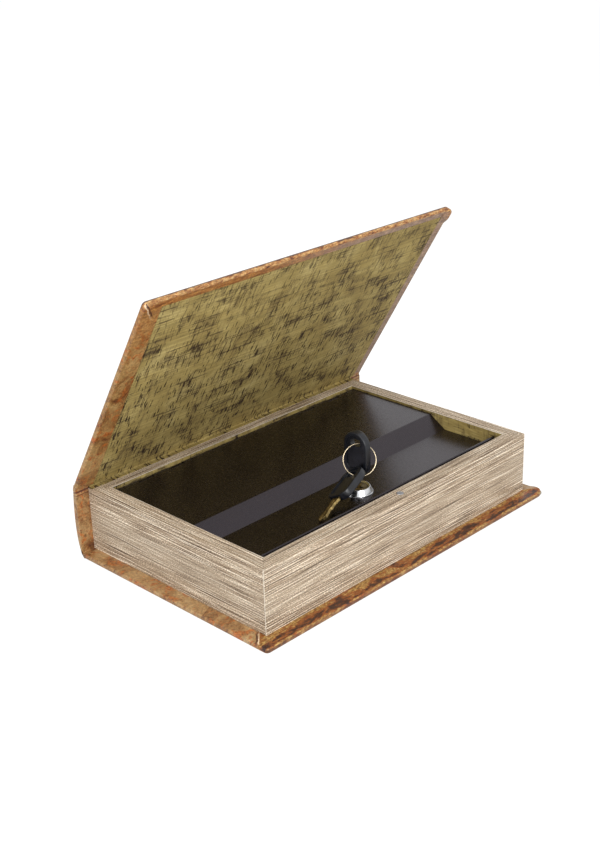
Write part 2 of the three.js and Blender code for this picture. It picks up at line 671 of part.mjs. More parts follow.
// Lock. Its pieces are drawn about the key's axis, with z = 0 on top of the ledge.
function lockBody() {
  const bore = PLUG_RADIUS + RUNNING_GAP;
  const bezel = turned([
    [bore, 0], [BEZEL_RADIUS, 0], [BEZEL_RADIUS, BEZEL_RIM], [BEZEL_TOP_RADIUS, BEZEL_HEIGHT],
    [BEZEL_TOP_RADIUS - BEZEL_LIP, BEZEL_HEIGHT], [bore, BEZEL_HEIGHT - BEZEL_DISH], [bore, 0],
  ]);
  const barrel = lockHole(BARREL_RADIUS, BARREL_FLAT)
    .intersect(cylinderZ(BEZEL_RADIUS, -BARREL_LENGTH, BEZEL_RIM))
    .subtract(cylinderZ(bore, -BARREL_LENGTH - THROUGH, BEZEL_HEIGHT, 48));
  const body = bezel.add(barrel);
  return mesh('lock_body', body, 'chrome');
}

function lockNut() {
  const hexagon = cylinderZ(NUT_ACROSS_FLATS / Math.sqrt(3), -SHEET - NUT_HEIGHT, -SHEET, 6);
  const bore = cylinderZ(BARREL_RADIUS + RUNNING_GAP, -SHEET - NUT_HEIGHT - THROUGH, THROUGH);
  return mesh('lock_nut', hexagon.subtract(bore), 'steel');
}

function lockPlug() {
  const face = BEZEL_HEIGHT - PLUG_SUNK;
  const camTop = -BARREL_LENGTH - RUNNING_GAP;
  const squareEnd = camTop - CAM_THICKNESS;
  const keywayFloor = KEY_FOOT_ABOVE_LEDGE - BLADE_LENGTH - RUNNING_GAP;
  const keyway = slab(
    BLADE_WIDTH / 2 + RUNNING_GAP, BLADE_THICKNESS / 2 + RUNNING_GAP, keywayFloor, face + THROUGH,
  );
  const screwHole = cylinderZ(CAM_SCREW_RADIUS + RUNNING_GAP, squareEnd - THROUGH, squareEnd + CAM_SCREW_LENGTH, 16);
  const body = cylinderZ(PLUG_RADIUS, camTop, face, 40)
    .add(slab(CAM_SQUARE / 2, CAM_SQUARE / 2, squareEnd, camTop + THROUGH))
    .subtract(keyway)
    .subtract(screwHole);
  return mesh('lock_plug', body, 'brass');
}

function lockCam() {
  const top = -BARREL_LENGTH - RUNNING_GAP - GLUE_GAP;
  const bottom = top - CAM_THICKNESS + GLUE_GAP;
  const square = CAM_SQUARE / 2 + RUNNING_GAP;
  const arm = roundedRectangle(-CAM_WIDTH / 2, CAM_WIDTH / 2, 0, CAM_LENGTH, CAM_WIDTH / 4);
  const body = prismZ(arm, bottom, top)
    .add(cylinderZ(PLUG_RADIUS, bottom, top))
    .subtract(slab(square, square, bottom - THROUGH, top + THROUGH));
  return mesh('lock_cam', body, 'steel');
}

function camScrew() {
  const seat = -BARREL_LENGTH - RUNNING_GAP - CAM_THICKNESS;
  const screw = turned([
    [0, seat - CAM_SCREW_HEAD], [CAM_SCREW_HEAD_RADIUS * 0.7, seat - CAM_SCREW_HEAD],
    [CAM_SCREW_HEAD_RADIUS, seat - CAM_SCREW_HEAD / 2], [CAM_SCREW_HEAD_RADIUS, seat],
    [CAM_SCREW_RADIUS, seat], [CAM_SCREW_RADIUS, seat + CAM_SCREW_LENGTH - RUNNING_GAP],
    [0, seat + CAM_SCREW_LENGTH - RUNNING_GAP],
  ], 24);
  return mesh('cam_screw', screw, 'steel');
}

// Keys, drawn upright with z = 0 at the bow's foot and the flat of the bow across Y
function bowOutline(inset) {
  const half = BOW_WIDTH / 2 - inset;
  const foot = BOW_FOOT_RADIUS - inset;
  const shape = new THREE.Shape();
  shape.moveTo(-half + foot, inset);
  shape.lineTo(half - foot, inset);
  shape.absarc(half - foot, inset + foot, foot, -Math.PI / 2, 0);
  shape.lineTo(half, BOW_HEIGHT - BOW_WIDTH / 2);
  shape.absarc(0, BOW_HEIGHT - BOW_WIDTH / 2, half, 0, Math.PI);
  shape.lineTo(-half, inset + foot);
  shape.absarc(-half + foot, inset + foot, foot, Math.PI, Math.PI * 1.5);
  return shape;
}

function keyBow(name) {
  const geometry = new THREE.ExtrudeGeometry(bowOutline(0), {
    depth: BOW_THICKNESS - 2 * BOW_EDGE_RADIUS,
    bevelThickness: BOW_EDGE_RADIUS,
    bevelSize: BOW_EDGE_RADIUS,
    bevelOffset: -BOW_EDGE_RADIUS,
    bevelSegments: 2,
    curveSegments: 8,
  });
  geometry.rotateX(Math.PI / 2);
  geometry.translate(0, BOW_THICKNESS / 2 - BOW_EDGE_RADIUS, 0);
  const face = BOW_THICKNESS / 2;
  const eyeZ = BOW_HEIGHT - BOW_EYE_FROM_TOP;
  const eye = roundedRectangle(
    -BOW_EYE_WIDTH / 2, BOW_EYE_WIDTH / 2,
    eyeZ - BOW_EYE_HEIGHT / 2, eyeZ + BOW_EYE_HEIGHT / 2, BOW_EYE_CORNER,
  );
  const tang = slab(BLADE_WIDTH / 2 + RUNNING_GAP, BLADE_THICKNESS / 2 + RUNNING_GAP, -THROUGH, BLADE_TANG + RUNNING_GAP);
  const body = solid(geometry)
    .subtract(prismY(bowOutline(BOW_RIM), face - BOW_RECESS, face + THROUGH, 8))
    .subtract(prismY(bowOutline(BOW_RIM), -face - THROUGH, -face + BOW_RECESS, 8))
    .subtract(prismY(eye, -face - THROUGH, face + THROUGH, 6))
    .subtract(tang);
  return mesh(name, body, 'black_plastic');
}

function keyBlade(name) {
  const half = BLADE_WIDTH / 2;
  const edge = [[half, BLADE_TANG], [half, -BIT_PITCH / 2]];
  BIT_DEPTHS.forEach((depth, i) => {
    const z = -BIT_PITCH * (i + 1);
    edge.push([half - depth, z], [half - depth, z - BIT_PITCH / 3]);
  });
  edge.push([half, -BLADE_LENGTH + BLADE_TIP_WIDTH], [BLADE_TIP_WIDTH / 2, -BLADE_LENGTH]);
  const mirrored = edge.map(([x, z]) => [-x, z]).reverse();
  const blade = prismY(outlined([...edge, ...mirrored]), -BLADE_THICKNESS / 2, BLADE_THICKNESS / 2);
  const grooves = [-1, 1].map((side) => {
    const y = side * BLADE_THICKNESS / 2;
    return box(
      -BLADE_GROOVE_WIDTH / 2, BLADE_GROOVE_WIDTH / 2,
      y - BLADE_GROOVE_DEPTH, y + BLADE_GROOVE_DEPTH,
      -BLADE_LENGTH - THROUGH, -BLADE_GROOVE_WIDTH,
    );
  });
  return mesh(name, blade.subtract(joined(grooves)), 'brass');
}

function key(prefix) {
  const group = new THREE.Group();
  group.add(keyBlade(`${prefix}_blade`), keyBow(`${prefix}_bow`));
  return group;
}

// The ring's own frame: X level, Y up its lean, Z out of its plane, about its centre
function ringFrame() {
  const azimuth = THREE.MathUtils.degToRad(RING_AZIMUTH_DEG);
  const lean = THREE.MathUtils.degToRad(RING_LEAN_DEG);
  const out = new THREE.Vector3(
    Math.cos(lean) * Math.cos(azimuth), Math.cos(lean) * Math.sin(azimuth), Math.sin(lean),
  );
  const level = new THREE.Vector3(-Math.sin(azimuth), Math.cos(azimuth), 0);
  const up = out.clone().cross(level);
  const eyeZ = KEY_FOOT_ABOVE_LEDGE + BOW_HEIGHT - BOW_EYE_FROM_TOP;
  const top = new THREE.Vector3(RING_EYE_SIDE, 0, eyeZ - RING_IN_EYE);
  const centre = top.clone().addScaledVector(up, -RING_RADIUS);
  return { out, level, up, centre };
}

function keyRing() {
  const { out, level, up, centre } = ringFrame();
  const wire = solid(new THREE.TorusGeometry(RING_RADIUS, RING_WIRE, 8, 40));
  const split = box(0, RING_RADIUS + THROUGH, -RING_SPLIT / 2, RING_SPLIT / 2, -RING_WIRE * 2, RING_WIRE * 2);
  const ring = mesh('key_ring', wire.subtract(split), 'wire');
  ring.matrixAutoUpdate = false;
  ring.matrix.makeBasis(level, up, out).setPosition(centre);
  return ring;
}

// The spare key's axis runs from its bow down to its tip, which rests near the ledge, and its bow rolls about
// that axis
function spareKey() {
  const { level, up, centre } = ringFrame();
  const onRing = THREE.MathUtils.degToRad(SPARE_ON_RING_DEG);
  const hook = centre.clone()
    .addScaledVector(level, RING_RADIUS * Math.cos(onRing))
    .addScaledVector(up, RING_RADIUS * Math.sin(onRing));
  const azimuth = THREE.MathUtils.degToRad(SPARE_AZIMUTH_DEG);
  const toFoot = BOW_HEIGHT - BOW_EYE_FROM_TOP + SPARE_IN_EYE;
  const dip = Math.asin((hook.z - SPARE_TIP_ABOVE_LEDGE) / (toFoot + BLADE_LENGTH));
  const down = new THREE.Vector3(
    Math.cos(dip) * Math.cos(azimuth), Math.cos(dip) * Math.sin(azimuth), -Math.sin(dip),
  );
  const side = new THREE.Vector3(-Math.sin(azimuth), Math.cos(azimuth), 0)
    .applyAxisAngle(down, THREE.MathUtils.degToRad(SPARE_ROLL_DEG));
  const flat = down.clone().negate().cross(side);
  const foot = hook.clone().addScaledVector(down, toFoot);
  const group = key('spare_key');
  group.matrixAutoUpdate = false;
  group.matrix.makeBasis(side, flat, down.clone().negate()).setPosition(foot);
  return group;
}

function lock() {
  const group = new THREE.Group();
  group.position.set(LOCK_X, 0, LEDGE_Z);
  const inserted = key('key');
  inserted.position.z = KEY_FOOT_ABOVE_LEDGE;
  group.add(lockBody(), lockNut(), lockPlug(), lockCam(), camScrew(), inserted, keyRing(), spareKey());
  return group;
}

const bookSafe = new THREE.Group();
bookSafe.add(backCover(), ...spine(), jointLeatherette(), hingeEndpaper(), ...pageBlock());
bookSafe.add(tray(), strikeChannel(), frontCover(), lid(), lock());
bookSafe.add(hingePin('hinge_pin_tail', -HINGE_STATION_Y), hingePin('hinge_pin_head', HINGE_STATION_Y));
let screwNumber = 0;
for (const signX of [-1, 1]) {
  for (const signY of [-1, 1]) {
    screwNumber += 1;
    bookSafe.add(trayScrew(`tray_screw_${screwNumber}`, signX, signY));
  }
}

export default bookSafe;
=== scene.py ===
"""Looks of the book safe: leatherette covers, olive lining, page edges, a black steel lid and its lock."""

import json
import math

import bpy
from mathutils import Matrix, Vector
from mathutils.geometry import interpolate_bezier


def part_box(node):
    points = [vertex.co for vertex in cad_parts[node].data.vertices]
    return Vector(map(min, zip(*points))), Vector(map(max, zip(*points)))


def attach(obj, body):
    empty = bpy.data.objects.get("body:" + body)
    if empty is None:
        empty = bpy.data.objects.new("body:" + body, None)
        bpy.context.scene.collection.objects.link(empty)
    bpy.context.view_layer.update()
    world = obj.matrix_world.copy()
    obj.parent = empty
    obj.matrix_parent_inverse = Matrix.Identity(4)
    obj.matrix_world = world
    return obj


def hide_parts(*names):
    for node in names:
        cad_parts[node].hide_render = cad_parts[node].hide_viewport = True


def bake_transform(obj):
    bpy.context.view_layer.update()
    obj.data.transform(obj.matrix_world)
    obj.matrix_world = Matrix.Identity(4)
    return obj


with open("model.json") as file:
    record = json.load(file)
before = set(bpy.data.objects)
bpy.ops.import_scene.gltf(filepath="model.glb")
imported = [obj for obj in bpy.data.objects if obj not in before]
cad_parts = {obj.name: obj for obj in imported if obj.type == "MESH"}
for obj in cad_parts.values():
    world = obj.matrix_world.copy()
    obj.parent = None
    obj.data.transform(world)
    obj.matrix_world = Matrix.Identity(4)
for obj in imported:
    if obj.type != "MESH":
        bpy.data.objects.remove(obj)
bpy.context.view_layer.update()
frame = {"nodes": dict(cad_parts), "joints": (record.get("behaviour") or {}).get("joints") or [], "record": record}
record = frame["record"]
BODY_OF = {node: body for body, nodes in record["behaviour"]["bodies"].items() for node in nodes}
JOINT = {joint["name"]: joint for joint in frame["joints"]}

MM = 0.001

# Slack when two places are compared, in metres
NEAR = 1e-6

# The covers, as the solids have them
COVER_THICKNESS = 3.7 * MM
COVER_HALF_LENGTH = 151.3 * MM
COVER_EDGE = 1.4 * MM
COVER_OPEN = math.radians(58.6)
SKIN = 0.4 * MM
FRONT_WIDTH = 184.0 * MM
FRONT_CORNERS = {"tail": 3 * MM, "head": 5 * MM}
FRONT_TURN_IN = {"fore": 6.8 * MM, "tail": 16 * MM, "head": 8 * MM}
BACK_WIDTH = 189.7 * MM
BACK_START = -87.3 * MM
BACK_CORNERS = {"tail": 3 * MM, "head": 7 * MM}
BACK_TURN_IN = {"fore": 14 * MM, "tail": 14 * MM, "head": 14 * MM}
HINGE = Vector(JOINT["cover_hinge"]["pos_m"])
HINGE_TO_BOARD = 3.8 * MM

# Where the turned-in leatherette is creased at the fore corners, from the edge inwards, each cover flat
FRONT_TAIL_CREASE = (Vector((184, -151.3, 0)) * MM, Vector((165, -138.8, 0)) * MM)
FRONT_HEAD_CREASE = (Vector((184, 151.3, 0)) * MM, Vector((177.2, 143.3, 0)) * MM)
BACK_TAIL_CREASE = (Vector((180, 149.9, 0)) * MM, Vector((167.4, 137.3, 0)) * MM)
BACK_HEAD_CREASE = (Vector((189.7, -151.3, 0)) * MM, Vector((175.7, -137.3, 0)) * MM)

# The ridge along a crease: half its width, and the two steps it rises in, each up to so far from the line
RIDGE_HALF_WIDTH = 1.1 * MM
RIDGE_STEP = 0.35 * MM
RIDGE_STEP_REACHES = (0.65 * MM, 0.1 * MM)

# From a cover drawn flat, its inside down and its spine edge at x = 0, to its place
FRONT_PLACE = (
    Matrix.Translation(HINGE)
    @ Matrix.Rotation(-COVER_OPEN, 4, "Y")
    @ Matrix.Translation((HINGE_TO_BOARD, 0, 0))
)
BACK_PLACE = Matrix.Translation((BACK_START, 0, COVER_THICKNESS)) @ Matrix.Rotation(math.pi, 4, "X")

# The page block
BLOCK_HALF = Vector((90 * MM, 140 * MM, 0))
BLOCK_TOP = 52.3 * MM
BLOCK_FOOT = COVER_THICKNESS
RIM = 12 * MM
PRINT = 0.4 * MM
LEAVES_PER_METRE = 620

# How many metres along the printed pattern the end rails lie from the side rails
ENDS_FROM_SIDES = 3

# The lining
LINING = 0.35 * MM
LINING_GAP = 0.2 * MM
FOLD_HALF_LENGTH = 139.7 * MM

# The split ring: its middle line, its wire and how it is wound
RING_RADIUS = 11.8 * MM
WIRE_RADIUS = 0.29 * MM
WIRE_FLATTENED = 1.35
RING_PITCH = 0.6 * MM
RING_WOUND = 716

# The lock's outline, from its axis and up from the lid, in millimetres
BEZEL_FOOT = (11.4, 0.1)
BEZEL_RIM = (11.4, 0.55)
BEZEL_SLOPE = ((11.25, 0.8), (11.0, 1.0), (9.1, 4.55), (8.95, 4.74), (8.8, 4.8), (8.55, 4.78), (8.4, 4.62))
DISH = ((7.45, 4.08), (7.3, 3.98))
BARREL = ((7.3, -12.2), (9.2, -12.2), (9.2, 0.0), (11.1, 0.0))
BARREL_FLAT = 8.2 * MM


# Hand tools

def alone(piece):
    """Selects the piece and nothing else, in object mode."""
    if bpy.context.object and bpy.context.object.mode != "OBJECT":
        bpy.ops.object.mode_set(mode="OBJECT")
    bpy.ops.object.select_all(action="DESELECT")
    piece.select_set(True)
    bpy.context.view_layer.objects.active = piece


def pick(piece, kind, test):
    """Opens the piece for editing with only the faces, edges or points that pass the test selected."""
    alone(piece)
    bpy.ops.object.mode_set(mode="EDIT")
    bpy.ops.mesh.select_mode(type=kind)
    bpy.ops.mesh.select_all(action="DESELECT")
    bpy.ops.object.mode_set(mode="OBJECT")
    mesh = piece.data
    if kind == "FACE":
        for face in mesh.polygons:
            face.select = test(face)
    elif kind == "EDGE":
        for edge in mesh.edges:
            edge.select = test(*(mesh.vertices[i].co for i in edge.vertices))
    else:
        for point in mesh.vertices:
            point.select = test(point.co)
    bpy.ops.object.mode_set(mode="EDIT")


def pick_all(piece, kind="FACE"):
    """Opens the piece for editing with all of it selected."""
    pick(piece, kind, lambda *parts: True)


def put_down(piece):
    bpy.ops.object.mode_set(mode="OBJECT")
    return piece


def cut(piece, point, normal):
    """Cuts the whole piece along a plane, and keeps both sides."""
    pick_all(piece)
    bpy.ops.mesh.bisect(plane_co=point, plane_no=normal)
    put_down(piece)


def turned_out(piece):
    """Turns all the faces of a piece the same way, outwards where it is closed."""
    pick_all(piece)
    bpy.ops.mesh.normals_make_consistent(inside=False)
    return put_down(piece)


def extrude(shift):
    """Draws out what is selected."""
    bpy.ops.mesh.extrude_region_move(TRANSFORM_OT_translate={"value": shift})


def named(name):
    """The primitive just added, named and with its size in its mesh."""
    piece = bpy.context.object
    piece.name = piece.data.name = name
    bpy.ops.object.transform_apply(location=True, rotation=True, scale=True)
    return piece


def placed(piece, place):
    """The piece moved and turned to its place, which is kept in its mesh."""
    alone(piece)
    piece.matrix_world = place
    bpy.ops.object.transform_apply(location=True, rotation=True, scale=True)
    return piece


def with_modifier(piece, kind, **settings):
    alone(piece)
    modifier = piece.modifiers.new(kind.lower(), kind)
    for key, value in settings.items():
        setattr(modifier, key, value)
    bpy.ops.object.modifier_apply(modifier=modifier.name)
    return piece


def thickened(piece, thickness, **settings):
    """Gives a sheet its thickness, on the side away from its face."""
    return with_modifier(piece, "SOLIDIFY", thickness=thickness, offset=-1, **settings)


def sharp_edges_eased(piece, width, segments, degrees):
    """Bevels the edges that turn by more than an angle."""
    return with_modifier(
        piece, "BEVEL", width=width, segments=segments, limit_method="ANGLE",
        angle_limit=math.radians(degrees), use_clamp_overlap=True,
    )


def cut_away(piece, tool):
    """Takes the tool's shape out of the piece, and throws the tool away."""
    with_modifier(piece, "BOOLEAN", object=tool, operation="DIFFERENCE", solver="EXACT")
    bpy.data.objects.remove(tool)


def smoothed(piece, degrees=40):
    """Smooth shading over gentle edges, with the flats kept flat."""
    alone(piece)
    bpy.ops.object.shade_smooth_by_angle(angle=math.radians(degrees))
    return with_modifier(piece, "WEIGHTED_NORMAL", keep_sharp=True, weight=80)


def copied(node, name):
    """A merged copy of a CAD node, its flat faces joined."""
    piece = bpy.data.objects.new(name, frame["nodes"][node].data.copy())
    bpy.context.scene.collection.objects.link(piece)
    alone(piece)
    bpy.ops.object.mode_set(mode="EDIT")
    bpy.ops.mesh.select_all(action="SELECT")
    bpy.ops.mesh.remove_doubles(threshold=0.002 * MM)
    bpy.ops.mesh.dissolve_limited(angle_limit=math.radians(1))
    return put_down(piece)


def eased(node, name, width, segments=2):
    """A copy of a CAD node with its sharp edges eased."""
    return smoothed(sharp_edges_eased(copied(node, name), width, segments, 30), 50)


def settle(piece, material, *nodes):
    """Gives a finished piece its material and body, in place of the CAD nodes it stands for."""
    piece.data.materials.clear()
    piece.data.materials.append(material)
    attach(piece, BODY_OF[nodes[0]])
    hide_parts(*nodes)
    return piece


def dress(material, *nodes):
    """Gives CAD nodes that stay a material."""
    for node in nodes:
        frame["nodes"][node].data.materials.clear()
        frame["nodes"][node].data.materials.append(material)


# Finishes, each worked out from an object's coordinates

class Signal:
    """A number, colour or place that differs over a surface, and can be calculated with like a number."""

    def __init__(self, tree, socket):
        self.tree = tree
        self.socket = socket

    def __add__(self, other):
        return maths("ADD", self, other)

    def __sub__(self, other):
        return maths("SUBTRACT", self, other)

    def __rsub__(self, other):
        return maths("SUBTRACT", other, self)

    def __mul__(self, other):
        return maths("MULTIPLY", self, other)

    def __abs__(self):
        return maths("ABSOLUTE", self)


def through(tree, kind, output, inputs=None, **settings):
    """What a new shading node makes of its inputs, each a signal or a plain value."""
    node = tree.nodes.new(kind)
    for key, value in settings.items():
        setattr(node, key, value)
    for key, value in (inputs or {}).items():
        if isinstance(value, Signal):
            tree.links.new(value.socket, node.inputs[key])
        else:
            node.inputs[key].default_value = value
    return Signal(tree, node.outputs[output])


def maths(operation, *values):
    tree = next(value.tree for value in values if isinstance(value, Signal))
    return through(tree, "ShaderNodeMath", "Value", dict(enumerate(values)), operation=operation)


def coordinates(material, kind="Object", place=None):
    """Object or UV coordinates in metres, or those of a cover's own flat frame."""
    tree = material.node_tree
    point = through(tree, "ShaderNodeTexCoord", kind)
    if place is None:
        return point
    back = place.inverted()
    return through(tree, "ShaderNodeMapping", "Vector", {
        "Vector": point, "Location": back.translation, "Rotation": back.to_euler(),
    }, vector_type="POINT")


def split(vector):
    """The X, Y and Z of a vector."""
    parts = through(vector.tree, "ShaderNodeSeparateXYZ", "X", {"Vector": vector}).socket.node.outputs
    return [Signal(vector.tree, part) for part in parts]


def noise(vector, scale, detail, roughness=0.5, distortion=0.0):
    """Noise of so many grains per metre, one number for all three axes or one for each."""
    if isinstance(scale, tuple):
        vector = through(vector.tree, "ShaderNodeMapping", "Vector", {"Vector": vector, "Scale": scale})
        scale = 1.0
    return through(vector.tree, "ShaderNodeTexNoise", "Fac", {
        "Vector": vector, "Scale": scale, "Detail": detail, "Roughness": roughness, "Distortion": distortion,
    })


def ramp(factor, *stops):
    """Runs from one colour or grey to the next, each at its own value of the factor."""
    result = through(factor.tree, "ShaderNodeValToRGB", "Color", {"Fac": factor})
    elements = result.socket.node.color_ramp.elements
    while len(elements) < len(stops):
        elements.new(0.5)
    for element, (position, colour) in zip(elements, stops):
        element.position = position
        element.color = (*colour, 1) if isinstance(colour, tuple) else (colour, colour, colour, 1)
    return result


def mixed(factor, under, over, blend_type="MIX"):
    """The colour over laid on the colour under, as strongly as the factor says."""
    if not isinstance(over, Signal):
        over = (*over, 1)
    return through(under.tree, "ShaderNodeMix", 2, {
        0: factor, 6: under, 7: over,
    }, data_type="RGBA", blend_type=blend_type)


def tinted(colour, tint):
    """A colour multiplied by another."""
    return mixed(1.0, colour, tint, "MULTIPLY")


def band(value, low, high):
    """0 below low, 1 above high, smooth between. With low above high it falls instead."""
    return through(value.tree, "ShaderNodeMapRange", "Result", {
        "Value": value, "From Min": low, "From Max": high,
    }, interpolation_type="SMOOTHSTEP")


def bumps(height, depth, strength):
    """The normal of a surface with a height pattern, so many metres deep."""
    return through(height.tree, "ShaderNodeBump", "Normal", {
        "Height": height, "Distance": depth, "Strength": strength,
    })


def started(name, colour, roughness, **sockets):
    """A material with only the shader's plain values."""
    material = bpy.data.materials.new(name)
    material.use_nodes = True
    shader = material.node_tree.nodes["Principled BSDF"]
    shader.inputs["Base Color"].default_value = (*colour, 1)
    shader.inputs["Roughness"].default_value = roughness
    for socket, value in sockets.items():
        shader.inputs[socket.replace("_", " ")].default_value = value
    return material


def surfaced(material, **signals):
    """Leads signals to the shader's sockets."""
    tree = material.node_tree
    for socket, signal in signals.items():
        tree.links.new(signal.socket, tree.nodes["Principled BSDF"].inputs[socket.replace("_", " ")])
    return material


# Leatherette

LEATHER_TAN = (0.42, 0.22, 0.08)
CHAR = (0.045, 0.014, 0.008)
CREASE_SHADOW = (0.055, 0.018, 0.010)
# A highlight painted along the ridge beside a crease
CREASE_HIGHLIGHT = (0.80, 0.62, 0.42)


def leather(name):
    return started(name, LEATHER_TAN, 0.4, Specular_IOR_Level=0.5, Coat_Weight=0.15, Coat_Roughness=0.3)


def mottled(flat):
    """The tan of the leatherette: clouds of tan and red-brown, orange blushes, spots and a dark craze."""
    clouds = noise(flat, 34, 9, 0.72, 0.8)
    colour = ramp(
        clouds, (0.34, (0.10, 0.030, 0.010)), (0.42, (0.25, 0.110, 0.034)), (0.50, (0.355, 0.200, 0.078)),
        (0.60, (0.43, 0.275, 0.125)), (0.72, (0.55, 0.39, 0.21)),
    )
    blush = noise(flat, 70, 7, 0.75, 1.4)
    colour = mixed(ramp(blush, (0.53, 0.0), (0.60, 0.85)), colour, (0.42, 0.115, 0.020))
    spotted = band(noise(flat, 420, 2, 0.6), 0.56, 0.64) * band(blush, 0.46, 0.56)
    colour = mixed(spotted * 0.7, colour, (0.14, 0.035, 0.012))
    craze = abs(noise(flat, 62, 5, 0.75, 0.9) - 0.5)
    return mixed(ramp(craze, (0.0, 0.9), (0.016, 0.0)) * band(clouds, 0.54, 0.46), colour, CHAR)


def creased(flat, colour, crease, ridge_highlight):
    """Paints a crease's shadow, and beside it a highlight along its ridge, on the line between two points."""
    x, y, z = split(flat)
    start, finish = crease
    along = finish - start
    left = Vector((-along.y, along.x, 0)).normalized()
    per_length = along / along.length_squared
    wander = noise(flat, 260, 2) * (2.4 * MM) - 1.2 * MM
    off = x * left.x + y * left.y - start.dot(left) + wander
    reach = x * per_length.x + y * per_length.y - start.dot(per_length)
    within = band(reach, -0.1, 0.05) * band(reach, 1.0, 0.55) * band(z, 1.2 * MM, 0.8 * MM)
    # How strongly the ridge's painted highlight shows, most towards the cover's corner
    highlight_amount = band(reach, 0.6, 0.3) * 0.5 + ridge_highlight
    for low, high, amount, tone in (
        (-1.5 * MM, -0.5 * MM, 0.9, CREASE_SHADOW),
        (0.0, 0.8 * MM, highlight_amount, CREASE_HIGHLIGHT),
    ):
        soft = 0.3 * MM
        line = band(off, low - soft, low + soft) * band(off, high + soft, high - soft)
        colour = mixed(line * within * amount, colour, tone)
    return colour


def leathered(material, flat, colour):
    """Gives leatherette its fine grain: pores in the colour, in the gloss and in the surface."""
    pores = noise(flat, 520, 4, 0.75)
    grain = through(
        flat.tree, "ShaderNodeTexVoronoi", "Distance", {"Vector": flat, "Scale": 900.0}, feature="SMOOTH_F1",
    )
    return surfaced(
        material,
        Base_Color=tinted(colour, ramp(pores, (0.32, 0.58), (0.68, 1.40))),
        Roughness=ramp(pores, (0.3, 0.32), (0.7, 0.54)),
        Normal=bumps(grain + noise(flat, 240, 4) * 2.5, 0.14 * MM, 0.55),
    )


def front_leatherette():
    """Tan leatherette, gold along the fore edge, where a highlight is painted on the rounded edge, and paler
    towards the head.
    """
    material = leather("front leatherette")
    flat = coordinates(material, place=FRONT_PLACE)
    x, y, z = split(flat)
    brown = ramp(
        noise(flat, (420, 110, 420), 5, 0.7),
        (0.36, (0.15, 0.042, 0.010)), (0.50, (0.31, 0.115, 0.024)), (0.62, (0.48, 0.22, 0.055)),
    )
    worn = ramp(
        noise(flat, (420, 160, 420), 5, 0.7), (0.36, (0.16, 0.090, 0.055)), (0.64, (0.38, 0.245, 0.16)),
    )
    # The rounded fore edge's gold: partly the leatherette's colour, partly a painted highlight
    gold = ramp(
        noise(flat, (600, 170, 600), 6, 0.75, 0.5),
        (0.38, (0.050, 0.014, 0.006)), (0.45, (0.28, 0.095, 0.022)), (0.53, (0.44, 0.225, 0.070)),
        (0.61, (0.60, 0.37, 0.150)), (0.69, (0.82, 0.61, 0.34)),
    )
    colour = tinted(mottled(flat), (1.0, 0.96, 0.80))
    turned_in = band(x, FRONT_WIDTH - 7.5 * MM, FRONT_WIDTH - 6.0 * MM)
    colour = mixed(turned_in * 0.8, colour, brown)
    tail_corner = band(x, 120 * MM, 170 * MM) * band(y, -120 * MM, -140 * MM)
    colour = mixed(tail_corner * 0.6, colour, brown)
    headwards = band(y, -60 * MM, 80 * MM) * band(z, 0.6 * MM, 0.2 * MM)
    colour = mixed(headwards * 0.85, colour, worn)
    charred = band(noise(flat, (60, 48, 60), 5, 0.7), 0.57, 0.61) * band(z, 0.9 * MM, 1.8 * MM)
    gold = mixed(charred * 0.9, gold, (0.045, 0.014, 0.009))
    # The gold, with its painted highlight, on the outermost rounded fore edge
    out = x + noise(flat, 150, 2) * (0.8 * MM)
    colour = mixed(band(out, FRONT_WIDTH - 1.8 * MM, FRONT_WIDTH - 1.0 * MM), colour, gold)
    # Darker in irregular patches along the outer side of the rounded fore edge
    outwards = z + noise(flat, (200, 90, 200), 4, 0.7) * (2.4 * MM)
    darker_outside = band(outwards, COVER_THICKNESS - 0.5 * MM, COVER_THICKNESS + 0.1 * MM)
    darker_outside = darker_outside * band(x, FRONT_WIDTH - 5 * MM, FRONT_WIDTH - 2 * MM)
    colour = mixed(darker_outside * 0.9, colour, (0.06, 0.016, 0.008))
    head_tip = (FRONT_WIDTH - 5 * MM, COVER_HALF_LENGTH + 3 * MM, 0)
    from_tip = through(
        flat.tree, "ShaderNodeVectorMath", "Value", {0: flat, 1: head_tip}, operation="DISTANCE")
    colour = mixed(band(from_tip, 9 * MM, 3 * MM) * 0.8, colour, brown)
    colour = creased(flat, colour, FRONT_TAIL_CREASE, 0.35)
    return leathered(material, flat, colour)


